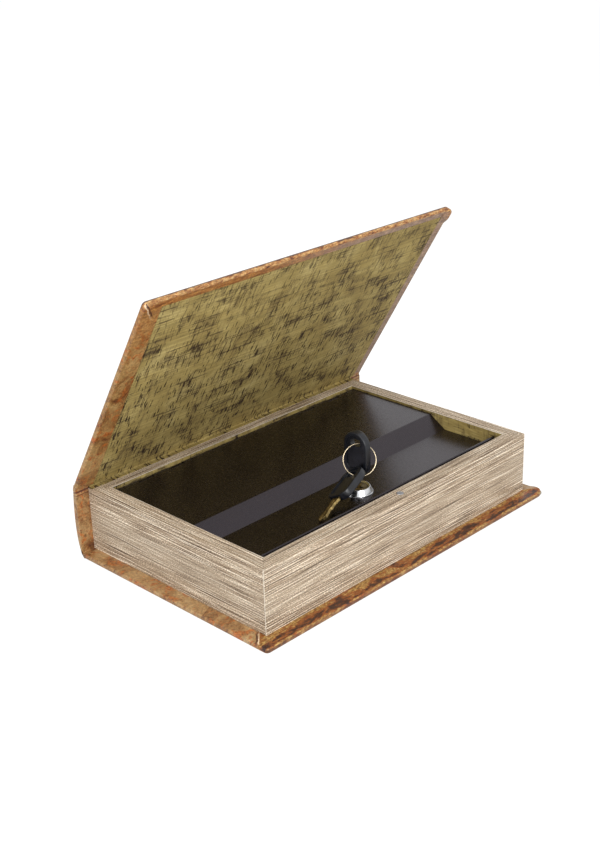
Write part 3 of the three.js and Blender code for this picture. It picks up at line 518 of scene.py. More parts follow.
def back_leatherette():
    """Tan leatherette whose fore strip is gold, with charred red-black patches along its middle."""
    material = leather("back leatherette")
    flat = coordinates(material, place=BACK_PLACE)
    x, y, z = split(flat)
    from_fore = BACK_WIDTH - x
    from_end = COVER_HALF_LENGTH - abs(y)
    gold = ramp(
        noise(flat, (800, 330, 800), 5, 0.72),
        (0.35, (0.060, 0.020, 0.006)), (0.43, (0.22, 0.090, 0.018)),
        (0.52, (0.37, 0.200, 0.050)), (0.63, (0.60, 0.40, 0.135)),
    )
    patches = noise(flat, (150, 46, 150), 9, 0.76, 0.4)
    along_middle = band(from_fore, 0.4 * MM, 2.4 * MM) * band(from_fore, 11.5 * MM, 5.0 * MM)
    burning = along_middle * 0.18 + patches * 1.5 - 0.335
    gold = mixed(ramp(burning, (0.43, 0.0), (0.50, 0.92)), gold, (0.25, 0.062, 0.008))
    gold = mixed(ramp(burning, (0.545, 0.0), (0.61, 0.92)), gold, (0.020, 0.005, 0.003))
    edge_tan = ramp(
        noise(flat, (170, 100, 170), 8, 0.78),
        (0.40, (0.045, 0.014, 0.007)), (0.47, (0.20, 0.068, 0.018)),
        (0.54, (0.27, 0.130, 0.045)), (0.63, (0.45, 0.285, 0.110)),
    )
    edge_tan = mixed(ramp(patches, (0.47, 0.0), (0.56, 0.85)), edge_tan, (0.12, 0.034, 0.012))
    on_edge = band(from_fore, 2.4 * MM, 0.9 * MM) * band(z, 0.2 * MM, 1.2 * MM)
    gold = mixed(on_edge * 0.9, gold, edge_tan)
    start = BACK_TAIL_CREASE[0]
    shift = (BACK_WIDTH - start.x) - (COVER_HALF_LENGTH - start.y)
    past_crease = from_end - from_fore + band(y, -1 * MM, 1 * MM) * shift
    on_strip = band(past_crease, -0.8 * MM, 0.2 * MM) * band(from_fore, 22 * MM, 21 * MM)
    colour = mixed(on_strip, mottled(flat), gold)
    colour = creased(flat, colour, BACK_TAIL_CREASE, 0.6)
    return leathered(material, flat, colour)


def spine_leatherette():
    """Tan leatherette over the spine and the joint, with painted shade, dark red, in the creases where they fold.
    """
    material = leather("spine leatherette")
    flat = coordinates(material)
    x, _, z = split(flat)
    colour = mottled(flat)
    up = z + noise(flat, 120, 3) * (1.2 * MM) - 0.6 * MM
    # Painted shade in the two creases below the spine's top
    for below_top, width in ((0.1 * MM, 0.7 * MM), (2.6 * MM, 0.45 * MM)):
        crease = band(abs(up - (BLOCK_TOP - below_top)), width, width / 2)
        colour = mixed(crease * 0.85, colour, (0.10, 0.022, 0.010))
    # Painted shade in the fold between the joint and the cover
    up_cover = (x - HINGE.x) * math.cos(COVER_OPEN) + (z - HINGE.z) * math.sin(COVER_OPEN)
    fold = band(abs(up_cover - HINGE_TO_BOARD), 0.8 * MM, 0.3 * MM)
    colour = mixed(fold * 0.7, colour, (0.14, 0.035, 0.014))
    return leathered(material, flat, colour)


# Papers

def olive_paper(name, kind, marks_along, threads_along, inked_from):
    """Olive lining paper: faint threads along it, brown clouds, and drifts of short dark marks across."""
    material = started(name, (0.33, 0.25, 0.09), 0.7, Specular_IOR_Level=0.16)
    sheet = coordinates(material, kind)
    threads = noise(sheet, threads_along, 3, 0.6)
    drift = noise(sheet, 46, 5, 0.70)
    bold = noise(sheet, marks_along, 3, 0.6, 0.3)
    soft = noise(sheet, tuple(0.7 * grains for grains in marks_along), 4, 0.6, 0.4)
    cross = noise(sheet, tuple(0.8 * grains for grains in threads_along), 4, 0.65)
    colour = ramp(
        noise(sheet, 32, 6, 0.65, 0.6), (0.34, (0.262, 0.190, 0.066)), (0.45, (0.318, 0.236, 0.080)),
        (0.55, (0.368, 0.280, 0.100)), (0.68, (0.44, 0.345, 0.136)),
    )
    colour = tinted(colour, ramp(threads, (0.28, 0.68), (0.72, 1.30)))
    smeared = drift * 0.7 + soft - 0.35
    colour = mixed(ramp(smeared, (0.52, 0.0), (0.58, 0.42)), colour, (0.110, 0.072, 0.036))
    crossed = drift * 0.6 + cross - 0.30
    colour = mixed(ramp(crossed, (0.575, 0.0), (0.62, 0.75)), colour, (0.060, 0.040, 0.022))
    inked = ramp(drift * 0.42 + bold - 0.21, (inked_from, 0.0), (inked_from + 0.016, 0.95))
    # Up the cover the ink grows fainter. The frame's faces lie too near the middle to show that.
    up_cover = split(sheet)[0]
    fresh = band(up_cover, 180 * MM, 80 * MM) * 0.35 + 0.65
    return surfaced(
        material,
        Base_Color=mixed(inked * fresh, colour, (0.024, 0.012, 0.008)),
        Roughness=ramp(threads, (0.3, 0.62), (0.7, 0.78)),
        Normal=bumps(noise(sheet, 900, 3) + threads * 0.8, 0.06 * MM, 0.5),
    )


def page_lines():
    """Paper printed like page edges: cream and dark lines, calmer halfway down, worn pale at the corners."""
    material = started("page edge print", (0.50, 0.41, 0.31), 0.65, Specular_IOR_Level=0.2)
    run = coordinates(material, "UV")
    rise = noise(run, (16, 40, 1), 2) * (1.6 * MM) - 0.8 * MM
    lift = through(run.tree, "ShaderNodeCombineXYZ", "Vector", {"Y": rise})
    wavy = through(run.tree, "ShaderNodeVectorMath", "Vector", {0: run, 1: lift}, operation="ADD")
    sheaves = noise(wavy, (3, 250, 1), 2)
    strength = ramp(noise(wavy, (16, 520, 1), 2), (0.36, 0.02), (0.66, 0.15))
    leaves = maths("SINE", split(wavy)[1] * (LEAVES_PER_METRE * 2 * math.pi) + sheaves * 22.0)
    speckle = noise(run, (900, 1400, 1), 2, 0.6)
    lines = leaves * strength + noise(wavy, (24, 1500, 1), 1, 0.6) * 0.68 + speckle * 0.32
    printed = ramp(
        lines, (0.37, (0.105, 0.068, 0.044)), (0.43, (0.27, 0.195, 0.130)), (0.47, (0.395, 0.300, 0.207)),
        (0.54, (0.455, 0.352, 0.247)), (0.58, (0.62, 0.505, 0.375)), (0.64, (0.88, 0.775, 0.625)),
    )
    height = split(run)[1]
    halfway = band(height, -13 * MM, -20 * MM) * band(height, -42 * MM, -33 * MM)
    calm = halfway * ramp(noise(run, (9, 60, 1), 3), (0.35, 0.1), (0.6, 0.5))
    colour = mixed(calm, printed, (0.44, 0.355, 0.26))
    colour = tinted(colour, ramp(speckle, (0.32, 0.60), (0.68, 1.40)))
    x, y, _ = split(coordinates(material))
    past_side = abs(x) - BLOCK_HALF.x
    past_end = abs(y) - BLOCK_HALF.y
    at_corner = maths("MINIMUM", past_side, past_end)
    at_inner_edge = -RIM - maths("MAXIMUM", past_side, past_end)
    worn = band(maths("MAXIMUM", at_corner, at_inner_edge), -0.55 * MM, -0.25 * MM)
    worn = worn * ramp(speckle, (0.3, 0.45), (0.6, 0.85))
    return surfaced(
        material,
        Base_Color=mixed(worn, colour, (0.74, 0.67, 0.56)),
        Roughness=ramp(sheaves, (0.3, 0.5), (0.7, 0.68)),
        Normal=bumps(lines + speckle * 0.15, 0.14 * MM, 0.6),
    )


# Paint, metal, plastic, board and wood

def steel_paint():
    """Satin black paint over sheet steel, with a fine orange peel and a little dust."""
    material = started(
        "black paint", (0.004, 0.003, 0.003), 0.28,
        Specular_IOR_Level=0.55, Specular_Tint=(1.0, 0.87, 1.0, 1.0),
    )
    flat = coordinates(material)
    peel = noise(flat, 1100, 3, 0.55)
    dust = band(noise(flat, 1300, 2, 0.6), 0.58, 0.74)
    tone = ramp(noise(flat, 35, 4, 0.6), (0.3, (0.002, 0.0014, 0.0012)), (0.7, (0.005, 0.0034, 0.003)))
    return surfaced(
        material,
        Base_Color=mixed(dust, tone, (0.020, 0.017, 0.018)),
        Roughness=ramp(peel, (0.3, 0.21), (0.7, 0.32)),
        Normal=bumps(peel, 0.03 * MM, 0.3),
    )


def metal(name, light, dark, smooth, rough, scratch=(300, 300, 300), depth=0.01 * MM):
    """Bare or plated metal: two close tones, with fine scratches that change its gloss."""
    material = started(name, light, smooth, Metallic=1.0)
    flat = coordinates(material)
    marks = noise(flat, scratch, 4, 0.7)
    return surfaced(
        material,
        Base_Color=ramp(marks * 0.5 + noise(flat, 160, 4, 0.6) * 0.5, (0.35, dark), (0.6, light)),
        Roughness=ramp(marks, (0.35, smooth), (0.7, rough)),
        Normal=bumps(marks, depth, 0.4),
    )


def moulded_black():
    """Moulded black plastic with a fine spark-eroded grain."""
    material = started("moulded black", (0.005, 0.006, 0.009), 0.32, Specular_IOR_Level=0.5)
    flat = coordinates(material)
    grain = noise(flat, 2600, 3, 0.6)
    worn = noise(flat, 260, 4, 0.6)
    return surfaced(
        material,
        Base_Color=ramp(worn, (0.35, (0.0035, 0.004, 0.006)), (0.75, (0.010, 0.012, 0.018))),
        Roughness=ramp(grain, (0.3, 0.25), (0.7, 0.40)),
        Normal=bumps(grain, 0.03 * MM, 0.5),
    )


def grey_board():
    """Uncoated grey board, pressed from mixed fibre."""
    material = started("grey board", (0.30, 0.27, 0.22), 0.85)
    flat = coordinates(material)
    fibre = noise(flat, (900, 240, 900), 4, 0.7)
    flecks = band(noise(flat, 700, 2, 0.6), 0.66, 0.72)
    colour = ramp(fibre, (0.3, (0.20, 0.18, 0.15)), (0.7, (0.38, 0.35, 0.30)))
    return surfaced(
        material, Base_Color=mixed(flecks, colour, (0.12, 0.10, 0.09)), Normal=bumps(fibre, 0.1 * MM, 0.6))


def plain_wood(name, grain):
    """Pale board, its grain along the rail."""
    material = started(name, (0.38, 0.25, 0.14), 0.7)
    lines = noise(coordinates(material), grain, 5, 0.65, 0.5)
    colour = ramp(lines, (0.3, (0.24, 0.145, 0.07)), (0.55, (0.42, 0.28, 0.155)), (0.8, (0.52, 0.37, 0.22)))
    return surfaced(material, Base_Color=colour, Normal=bumps(lines, 0.15 * MM, 0.5))


front_leather = front_leatherette()
back_leather = back_leatherette()
spine_leather = spine_leatherette()
cover_paper = olive_paper("cover lining", "UV", (84, 600, 1), (620, 22, 1), 0.576)
wall_paper = olive_paper("frame lining", "Object", (520, 520, 95), (60, 60, 900), 0.63)
page_paper = page_lines()
black_paint = steel_paint()
zinc = metal("zinc plate", (0.62, 0.62, 0.63), (0.42, 0.42, 0.44), 0.28, 0.46)
chrome = metal("chrome plate", (0.80, 0.81, 0.83), (0.70, 0.71, 0.73), 0.13, 0.24, depth=0.004 * MM)
nickel = metal("magnet plate", (0.50, 0.52, 0.58), (0.36, 0.38, 0.44), 0.34, 0.55)
brass = metal("worn brass", (0.46, 0.34, 0.14), (0.12, 0.078, 0.028), 0.24, 0.46, scratch=(700, 700, 160))
dull_brass = metal("dull brass", (0.30, 0.255, 0.165), (0.15, 0.12, 0.07), 0.34, 0.55)
ring_wire = metal("ring wire", (0.52, 0.44, 0.31), (0.30, 0.24, 0.16), 0.2, 0.36)
bow_black = moulded_black()
board = grey_board()
wood_across = plain_wood("rail wood across", (45, 700, 700))
wood_along = plain_wood("rail wood along", (700, 45, 700))


# Covers

def cover_skin(name, width, turn_in, corners, head, *creases):
    """A cover's leatherette, flat: wrapped round the board, turned in, and folded at its fore corners.

    The book's head is towards 1 or -1 on the flat cover's Y, as head says.
    """
    half = COVER_HALF_LENGTH
    middle = COVER_THICKNESS / 2
    bpy.ops.mesh.primitive_cube_add(
        size=1, location=(width / 2, 0, middle), scale=(width, 2 * half, COVER_THICKNESS),
    )
    skin = named(name)
    for end, side in (("head", head), ("tail", -head)):
        pick(skin, "EDGE", lambda a, b: (
            abs(a.z - b.z) > middle and a.x > width / 2 and a.y * side > 0))
        bpy.ops.mesh.bevel(offset=corners[end], segments=7, affect="EDGES")
        put_down(skin)
    pick(skin, "EDGE", lambda a, b: abs(a.z - b.z) < NEAR and max(a.x, b.x) > NEAR)
    bpy.ops.mesh.bevel(offset=COVER_EDGE, segments=4, affect="EDGES")
    put_down(skin)
    ends = {head: "head", -head: "tail"}
    field_x = width - turn_in["fore"]
    field_low = -half + turn_in[ends[-1]]
    field_high = half - turn_in[ends[1]]
    cut(skin, (field_x, 0, 0), (1, 0, 0))
    cut(skin, (0, field_low, 0), (0, 1, 0))
    cut(skin, (0, field_high, 0), (0, 1, 0))
    pick(skin, "FACE", lambda face: (
        face.center.z < middle - 0.01 * MM
        and face.center.x < field_x and field_low < face.center.y < field_high
    ))
    bpy.ops.mesh.delete(type="FACE")
    put_down(skin)
    for crease in creases:
        fold_corner(skin, *crease)
    return thickened(skin, SKIN)


def fold_corner(skin, start, finish):
    """Creases the turned-in leatherette along a line on its inner side, which then stands in a ridge."""
    along = finish - start
    across = Vector((-along.y, along.x, 0)).normalized()

    def beside(point, reach_from, distance):
        """Whether a point is by the line, whose reach runs from 0 at its start to 1 at its finish."""
        reach = (point - start).dot(along) / along.length_squared
        return (
            point.z < COVER_EDGE / 3 and reach_from < reach < 1.01
            and abs((point - start).dot(across)) < distance
        )

    pick(skin, "FACE", lambda face: (
        face.normal.z < -0.9 and face.center.y * start.y > 0
        and abs(face.center.y) > abs(finish.y) - 0.1 * MM
    ))
    bpy.ops.mesh.bisect(plane_co=start, plane_no=across)
    put_down(skin)
    pick(skin, "EDGE", lambda a, b: beside(a, -0.01, 0.01 * MM) and beside(b, -0.01, 0.01 * MM))
    bpy.ops.mesh.bevel(offset=RIDGE_HALF_WIDTH, segments=4, affect="EDGES")
    put_down(skin)
    for distance in RIDGE_STEP_REACHES:
        pick(skin, "VERT", lambda p: beside(p, 0.1, distance))
        bpy.ops.transform.translate(value=(0, 0, -RIDGE_STEP))
        put_down(skin)


def puff_corner(skin, tip, push):
    """Lets the leatherette, folded thick at a cover's corner, stand a little proud on its inner side."""
    pinch = 2.8 * MM
    reach = 9 * MM
    pick(skin, "VERT", lambda p: p.z > 0.6 * COVER_THICKNESS)
    bpy.ops.mesh.hide(unselected=False)
    put_down(skin)
    pick(skin, "VERT", lambda p: (p - Vector(tip)).length < pinch)
    bpy.ops.transform.translate(
        value=Vector(push) * MM, use_proportional_edit=True, proportional_edit_falloff="SMOOTH",
        proportional_size=reach,
    )
    bpy.ops.mesh.reveal(select=False)
    put_down(skin)


def covers():
    """Both covers, each cut into narrow rows by its edges, which let the corners puff smoothly."""
    front = cover_skin(
        "front_skin", FRONT_WIDTH, FRONT_TURN_IN, FRONT_CORNERS, 1, FRONT_TAIL_CREASE, FRONT_HEAD_CREASE)
    for from_edge in (3, 5, 9, 11, 13, 15):
        cut(front, (FRONT_WIDTH - from_edge * MM, 0, 0), (1, 0, 0))
    puff_corner(front, (FRONT_WIDTH - 6.5 * MM, COVER_HALF_LENGTH, 0), (0, 1.6, -1.8))
    puff_corner(front, (FRONT_WIDTH - 2 * MM, 2 * MM - COVER_HALF_LENGTH, 0), (0, 0, -0.7))
    settle(placed(smoothed(front), FRONT_PLACE), front_leather, "front_leatherette")
    back = cover_skin(
        "back_skin", BACK_WIDTH, BACK_TURN_IN, BACK_CORNERS, -1, BACK_TAIL_CREASE, BACK_HEAD_CREASE)
    for from_edge in (3, 6, 9, 12):
        cut(back, (BACK_WIDTH - from_edge * MM, 0, 0), (1, 0, 0))
        cut(back, (0, from_edge * MM - COVER_HALF_LENGTH, 0), (0, 1, 0))
    puff_corner(back, (BACK_WIDTH - 6 * MM, 4 * MM - COVER_HALF_LENGTH, 0), (0, -0.2, -1.2))
    settle(placed(smoothed(back), BACK_PLACE), back_leather, "back_leatherette")
    dress(board, "front_board", "back_board", "spine_board")
    dress(wall_paper, "back_endpaper")
    dress(zinc, "keeper_plate")


# Spine, joint and lining, each drawn along the book from its section, with points in millimetres

def in_case(x, z):
    """A point of the section by its place in the case."""
    return Vector((x, 0, z)) * MM


def in_cover(u, v):
    """A point of the section, u along the front cover from the hinge and v outwards."""
    return HINGE + Vector((
        (u * math.cos(COVER_OPEN) - v * math.sin(COVER_OPEN)) * MM, 0,
        (u * math.sin(COVER_OPEN) + v * math.cos(COVER_OPEN)) * MM,
    ))


def strip(name, path, low, high, outwards):
    """A strip of sheet along the book, drawn out edge by edge through a path, its face outwards."""
    first, second = path[:2]
    run = second - first
    bpy.ops.mesh.primitive_plane_add(size=1, location=(0, 0, 0))
    bpy.ops.transform.resize(value=(run.length, high - low, 1))
    sheet = named(name)
    middle = Vector(((first.x + second.x) / 2, (low + high) / 2, (first.z + second.z) / 2))
    placed(sheet, Matrix.Translation(middle) @ Matrix.Rotation(-math.atan2(run.z, run.x), 4, "Y"))
    for before, after in zip(path[1:], path[2:]):
        pick(sheet, "EDGE", lambda a, b: all(
            math.hypot(p.x - before.x, p.z - before.z) < NEAR for p in (a, b)))
        extrude(after - before)
        put_down(sheet)
    turned_out(sheet)
    if sheet.data.polygons[0].normal.dot(outwards) < 0:
        pick_all(sheet)
        bpy.ops.mesh.flip_normals()
        put_down(sheet)
    return sheet


def bar(name, outline, low, high):
    """A bar along the book: a strip drawn right round its outline, closed at both ends."""
    piece = strip(name, [*outline, outline[0]], low, high, Vector((-1, 0, 0)))
    pick_all(piece)
    bpy.ops.mesh.remove_doubles(threshold=0.005 * MM)
    put_down(piece)
    for end in (low, high):
        pick(piece, "EDGE", lambda a, b: abs(a.y - end) < NEAR and abs(b.y - end) < NEAR)
        bpy.ops.mesh.edge_face_add()
        put_down(piece)
    return turned_out(piece)


def spine_skin():
    """The leatherette round the spine board, its edges rounded, with its foot folded under the block."""
    low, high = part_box("spine_leatherette")
    back = interpolate_bezier(
        in_case(-93.2, 52.3), in_case(-95.2, 36), in_case(-95.8, 8), in_case(-88.4, 0), 16)
    block_side = [in_case(-87.4, 0), in_case(-87.4, 3.7), in_case(-90, 3.7), in_case(-90, 52.3)]
    skin = bar("spine_skin", [*back, *block_side], low.y, high.y)
    sharp_edges_eased(skin, 0.8 * MM, 3, 40)
    thickened(skin, SKIN)
    settle(smoothed(skin), spine_leather, "spine_leatherette")


def blended(piece, material, start, end, *nodes):
    """Gives a sheet its material, bakes its place into its mesh, and hides the CAD nodes it stands for; start and
    end are not used.
    """
    piece.data.materials.append(material)
    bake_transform(piece)
    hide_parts(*nodes)


def joint_leather():
    """The leatherette that folds between the spine and the front cover, turned in over its inner side."""
    low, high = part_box("joint_leatherette")
    outer = [
        in_case(-93.15, 52.36), in_case(-93.2, 53.2), in_case(-93.05, 54.4), in_case(-92.85, 55.4),
        in_cover(2.4, 3.25), in_cover(3.1, 3.55), in_cover(3.76, 3.66),
    ]
    inner = [
        in_cover(3.76, 0.3), in_cover(1.6, 0.34),
        in_case(-90.75, 53.4), in_case(-90.6, 52.8), in_case(-90.4, 52.36),
    ]
    joint = bar("joint_skin", [*outer, *inner], low.y, high.y)
    for at in (-0.6, -0.2, 0.2, 0.6):
        cut(joint, (0, at * high.y, 0), (0, 1, 0))
    smoothed(sharp_edges_eased(joint, 0.3 * MM, 2, 50), 60)
    blended(joint, spine_leather, in_case(-91.5, 52.4), in_cover(3.7, 2.0), "joint_leatherette")


def uv_map(piece):
    return piece.data.uv_layers.get("UVMap") or piece.data.uv_layers.new(name="UVMap")


def lining_sheet():
    """The olive lining, one sheet from the cover over the fold to the rim, its pattern run along it."""
    top = (FRONT_WIDTH + HINGE_TO_BOARD - FRONT_TURN_IN["fore"] - LINING_GAP) / MM
    low = -COVER_HALF_LENGTH + FRONT_TURN_IN["tail"] + LINING_GAP
    high = COVER_HALF_LENGTH - FRONT_TURN_IN["head"] - LINING_GAP
    proud = -0.12
    on_cover = [in_cover(top, proud), in_cover(3.4, proud), in_cover(1.2, proud)]
    on_rim = [in_case(-90.12, 53.45), in_case(-90.0, 53.0), in_case(-89.6, 52.78), in_case(-86.5, 52.70)]
    sheet = strip("lining_sheet", [*on_cover, *on_rim], low, high, Vector((1, 0, 0)))
    for end, side in ((low, -1), (high, 1)):
        pick(sheet, "VERT", lambda p: p.z < on_rim[0].z + NEAR and p.y * side > 0)
        bpy.ops.transform.translate(value=(0, side * FOLD_HALF_LENGTH - end, 0))
        put_down(sheet)
    for at in (-0.5, 0.0, 0.5):
        cut(sheet, (0, at * high, 0), (0, 1, 0))
    smoothed(thickened(sheet, LINING), 60)
    run = uv_map(sheet)
    for loop in sheet.data.loops:
        point = sheet.data.vertices[loop.vertex_index].co
        from_hinge = (point - Vector((HINGE.x, point.y, HINGE.z))).length
        run.data[loop.index].uv = (from_hinge if point.z > on_rim[0].z else HINGE.x - point.x, point.y)
    blended(
        sheet, cover_paper, in_case(-90.0, 52.85), in_cover(1.2, proud), "front_endpaper", "hinge_endpaper")


# Page block

def page_wrap():
    """The printed paper round the frame, mitred over its rim, with the magnet's hole through it."""
    bpy.ops.mesh.primitive_plane_add(size=1, location=(0, 0, BLOCK_TOP))
    bpy.ops.transform.resize(value=(2 * BLOCK_HALF.x, 2 * BLOCK_HALF.y, 1))
    wrap = named("page_wrap")
    pick_all(wrap)
    bpy.ops.mesh.inset(thickness=RIM)
    put_down(wrap)
    pick(wrap, "FACE", lambda face: face.center.length < BLOCK_TOP + NEAR)
    bpy.ops.mesh.delete(type="FACE")
    put_down(wrap)
    pick(wrap, "EDGE", lambda a, b: all(
        abs(p.x) > BLOCK_HALF.x - NEAR or abs(p.y) > BLOCK_HALF.y - NEAR for p in (a, b)) and (
        abs(a.x - b.x) < NEAR or abs(a.y - b.y) < NEAR))
    extrude((0, 0, BLOCK_FOOT - BLOCK_TOP))
    put_down(wrap)
    inner = BLOCK_HALF - Vector((RIM, RIM, 0))
    pick(wrap, "EDGE", lambda a, b: all(
        abs(p.x) < inner.x + NEAR and abs(p.y) < inner.y + NEAR for p in (a, b)))
    extrude((0, 0, -PRINT))
    put_down(wrap)
    turned_out(wrap)
    thickened(wrap, PRINT, use_even_offset=True)
    low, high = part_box("magnet")
    bpy.ops.mesh.primitive_cylinder_add(
        vertices=48, radius=(high.x - low.x) / 2 + 0.25 * MM, depth=6 * MM, location=(low + high) / 2,
    )
    cut_away(wrap, named("drill"))
    smoothed(sharp_edges_eased(wrap, 0.3 * MM, 3, 50), 50)
    lay_lines(wrap)
    settle(wrap, page_paper, "page_print")


def lay_lines(wrap):
    """Runs the UV map's first axis along each rail and its second from the rim's outer edge, in or down."""
    run = uv_map(wrap)
    for face in wrap.data.polygons:
        on_end = abs(face.center.y) - BLOCK_HALF.y > abs(face.center.x) - BLOCK_HALF.x
        for index in face.loop_indices:
            point = wrap.data.vertices[wrap.data.loops[index].vertex_index].co
            along = point.x + ENDS_FROM_SIDES if on_end else point.y
            inwards = BLOCK_HALF.y - abs(point.y) if on_end else BLOCK_HALF.x - abs(point.x)
            run.data[index].uv = (along, max(inwards, 0.0) - max(BLOCK_TOP - point.z, 0.0))


# Lid and tray

def steelwork():
    for node, name, width in (
        ("lid", "lid_sheet", 0.22), ("tray", "tray_sheet", 0.2), ("strike_channel", "strike_sheet", 0.2),
    ):
        settle(eased(node, name, width * MM), black_paint, node)
    for end in ("tail", "head"):
        settle(eased(f"hinge_pin_{end}", f"pin_{end}", 0.2 * MM), zinc, f"hinge_pin_{end}")
    for number in range(1, 5):
        tray_screw(f"tray_screw_{number}")


def tray_screw(node):
    """A pan screw with a cross recess in its head, whose two slots narrow inwards."""
    low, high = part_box(node)
    inwards = -1 if low.x > 0 else 1
    head = Vector((low.x if inwards < 0 else high.x, (low.y + high.y) / 2, (low.z + high.z) / 2))
    screw = copied(node, node.replace("tray_screw", "pan_screw"))
    depth, length, width = 2.2 * MM, 3.6 * MM, 0.8 * MM
    for size in ((depth, length, width), (depth, width, length)):
        bpy.ops.mesh.primitive_cube_add(size=1, location=head, scale=size)
        slot = named("slot")
        pick(slot, "FACE", lambda face: face.normal.x * inwards < -0.9)
        bpy.ops.transform.resize(value=(1, 0.5, 0.5))
        put_down(slot)
        cut_away(screw, slot)
    settle(smoothed(screw, 35), zinc, node)


# Lock, keys and ring

def lock_body():
    """The chromed bezel, turned ring by ring, on its barrel with two flats."""
    place = Vector(JOINT["lock_turn"]["pos_m"])
    radius, height = BEZEL_FOOT
    bpy.ops.mesh.primitive_circle_add(vertices=72, radius=radius * MM, location=place, fill_type="NOTHING")
    body = named("lock_bezel")
    pick_all(body, "VERT")
    bpy.ops.transform.translate(value=(0, 0, height * MM))
    for next_radius, next_height in (BEZEL_RIM, *BEZEL_SLOPE, *DISH, *BARREL, BEZEL_FOOT):
        extrude((0, 0, (next_height - height) * MM))
        scale = next_radius / radius
        bpy.ops.transform.resize(value=(scale, scale, 1), center_override=place)
        radius, height = next_radius, next_height
    bpy.ops.mesh.select_all(action="SELECT")
    bpy.ops.mesh.remove_doubles(threshold=0.001 * MM)
    bpy.ops.mesh.normals_make_consistent(inside=False)
    put_down(body)
    flat = Vector((4, 24, 12.5)) * MM
    below = -flat.z / 2 - 0.01 * MM
    for side in (-1, 1):
        beside = side * (BARREL_FLAT + flat.x / 2)
        bpy.ops.mesh.primitive_cube_add(size=1, location=place + Vector((beside, 0, below)), scale=flat)
        cut_away(body, named("flat"))
    settle(smoothed(body, 32), chrome, "lock_body")


def split_ring():
    """Two turns of flattened wire, wound in the ring's own plane."""
    centre = Vector(JOINT["ring_spin"]["pos_m"])
    normal = Vector(JOINT["ring_spin"]["axis"])
    wire_start = (RING_RADIUS, 0, -RING_PITCH / 2)
    bpy.ops.mesh.primitive_circle_add(
        vertices=12, radius=WIRE_RADIUS, location=wire_start, rotation=(math.pi / 2, 0, 0),
    )
    ring = named("split_ring")
    pick_all(ring, "VERT")
    bpy.ops.transform.resize(value=(WIRE_FLATTENED, 1, 1), center_override=wire_start)
    put_down(ring)
    with_modifier(
        ring, "SCREW", angle=math.radians(RING_WOUND), screw_offset=RING_PITCH * RING_WOUND / 360, axis="Z",
        steps=150, render_steps=150, use_merge_vertices=False,
    )
    pick(ring, "EDGE", lambda a, b: False)
    bpy.ops.mesh.select_non_manifold()
    bpy.ops.mesh.fill_holes(sides=0)
    put_down(ring)
    turned_out(ring)
    smoothed(ring, 50)
    turn = Vector((0, 0, 1)).rotation_difference(normal).to_matrix().to_4x4()
    placed(ring, Matrix.Translation(centre - normal * RING_PITCH / 2) @ turn)
    settle(ring, ring_wire, "key_ring")


def lock_and_keys():
    lock_body()
    split_ring()
    for node, name, width, material in (
        ("lock_plug", "plug", 0.2, dull_brass), ("lock_nut", "nut", 0.35, zinc),
        ("lock_cam", "cam", 0.2, zinc), ("cam_screw", "cam_bolt", 0.25, zinc),
    ):
        settle(eased(node, name, width * MM), material, node)
    for key in ("key", "spare_key"):
        settle(eased(f"{key}_blade", f"{key}_brass", 0.12 * MM), brass, f"{key}_blade")
        settle(eased(f"{key}_bow", f"{key}_handle", 0.35 * MM, 3), bow_black, f"{key}_bow")
    settle(eased("magnet", "magnet_disc", 0.25 * MM), nickel, "magnet")


covers()
spine_skin()
joint_leather()
lining_sheet()
page_wrap()
dress(wood_along, "rail_spine", "rail_fore")
dress(wood_across, "rail_tail", "rail_head")
dress(wall_paper, "frame_lining")
steelwork()
lock_and_keys()


# Studio: a pale floor, a white surround, soft lamps and the photograph's camera

FLOOR_SIZE = 8
FLOOR_BELOW = 0.2 * MM
FLOOR_SHOWN = 0.78
LAMPS_AIM = Vector((0, 0, 40 * MM))
CAMERA_PLACE = (0.62987, -0.64107, 0.46982)
CAMERA_TURN = (66.3526, 1.7536, 44.3232)
CAMERA_LENS = 55.80
CAMERA_SENSOR = 36


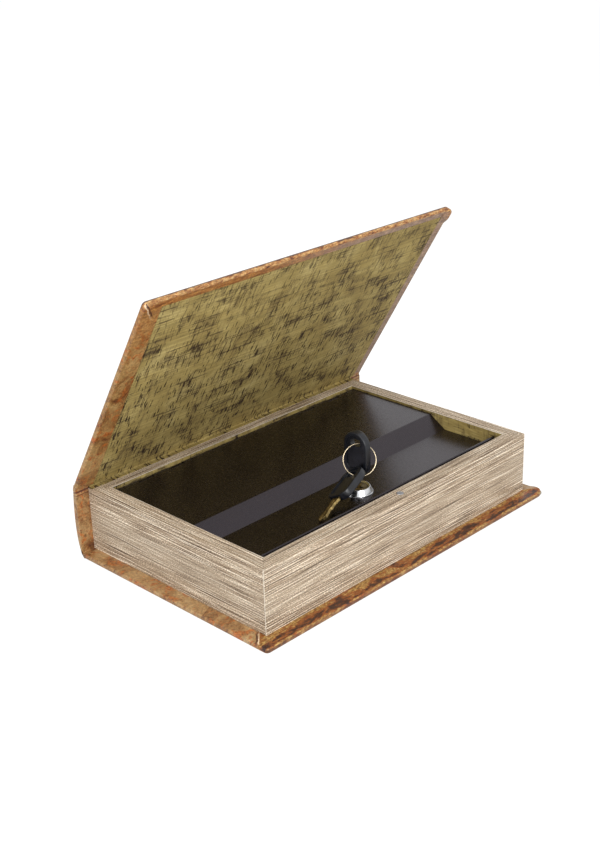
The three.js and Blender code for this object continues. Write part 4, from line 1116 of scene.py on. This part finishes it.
def floor():
    """A floor that shows white to the camera, keeps the object's shadow, and lights it as pale grey."""
    bpy.ops.mesh.primitive_plane_add(size=FLOOR_SIZE, location=(0, 0, -FLOOR_BELOW))
    plane = named("floor")
    material = started("pale floor", (0.80, 0.80, 0.80), 0.9, Specular_IOR_Level=0.1)
    tree = material.node_tree
    plain = Signal(tree, tree.nodes["Principled BSDF"].outputs[0])
    glow = through(tree, "ShaderNodeEmission", 0, {"Color": (1, 1, 1, 1), "Strength": FLOOR_SHOWN})
    shadowed = through(tree, "ShaderNodeBsdfDiffuse", 0, {"Color": (0.40, 0.40, 0.40, 1)})
    shown = through(tree, "ShaderNodeAddShader", 0, {0: glow, 1: shadowed})
    to_camera = through(tree, "ShaderNodeLightPath", "Is Camera Ray")
    surface = through(tree, "ShaderNodeMixShader", 0, {0: to_camera, 1: plain, 2: shown})
    tree.links.new(surface.socket, tree.nodes["Material Output"].inputs["Surface"])
    plane.data.materials.append(material)


def surround():
    """A world that is white to the camera and in reflections, and a softer light otherwise."""
    world = bpy.data.worlds.new("studio")
    bpy.context.scene.world = world
    world.use_nodes = True
    tree = world.node_tree
    to_camera, reflected, refracted = (
        through(tree, "ShaderNodeLightPath", f"Is {kind} Ray")
        for kind in ("Camera", "Glossy", "Transmission")
    )
    shown = maths("MAXIMUM", maths("MAXIMUM", to_camera, reflected), refracted)
    background = tree.nodes["Background"]
    background.inputs["Color"].default_value = (1, 1, 1, 1)
    tree.links.new((shown * 0.45 + 0.55).socket, background.inputs["Strength"])


def lamp(name, power, size, place):
    light = bpy.data.lights.new(name, "AREA")
    light.shape = "DISK"
    light.energy = power
    light.size = size
    holder = bpy.data.objects.new(name, light)
    bpy.context.scene.collection.objects.link(holder)
    holder.location = place
    holder.rotation_euler = (LAMPS_AIM - Vector(place)).to_track_quat("-Z", "Y").to_euler()


def camera():
    data = bpy.data.cameras.new("camera")
    data.lens = CAMERA_LENS
    data.sensor_width = CAMERA_SENSOR
    data.clip_start = 10 * MM
    holder = bpy.data.objects.new("camera", data)
    bpy.context.scene.collection.objects.link(holder)
    holder.location = CAMERA_PLACE
    holder.rotation_euler = [math.radians(angle) for angle in CAMERA_TURN]
    bpy.context.scene.camera = holder


floor()
surround()
lamp("key", power=14, size=0.9, place=(0.3, -1.3, 1.3))
lamp("fore", power=15, size=0.9, place=(1.45, -0.35, 0.8))
camera()
bpy.context.scene.view_settings.view_transform = "Standard"
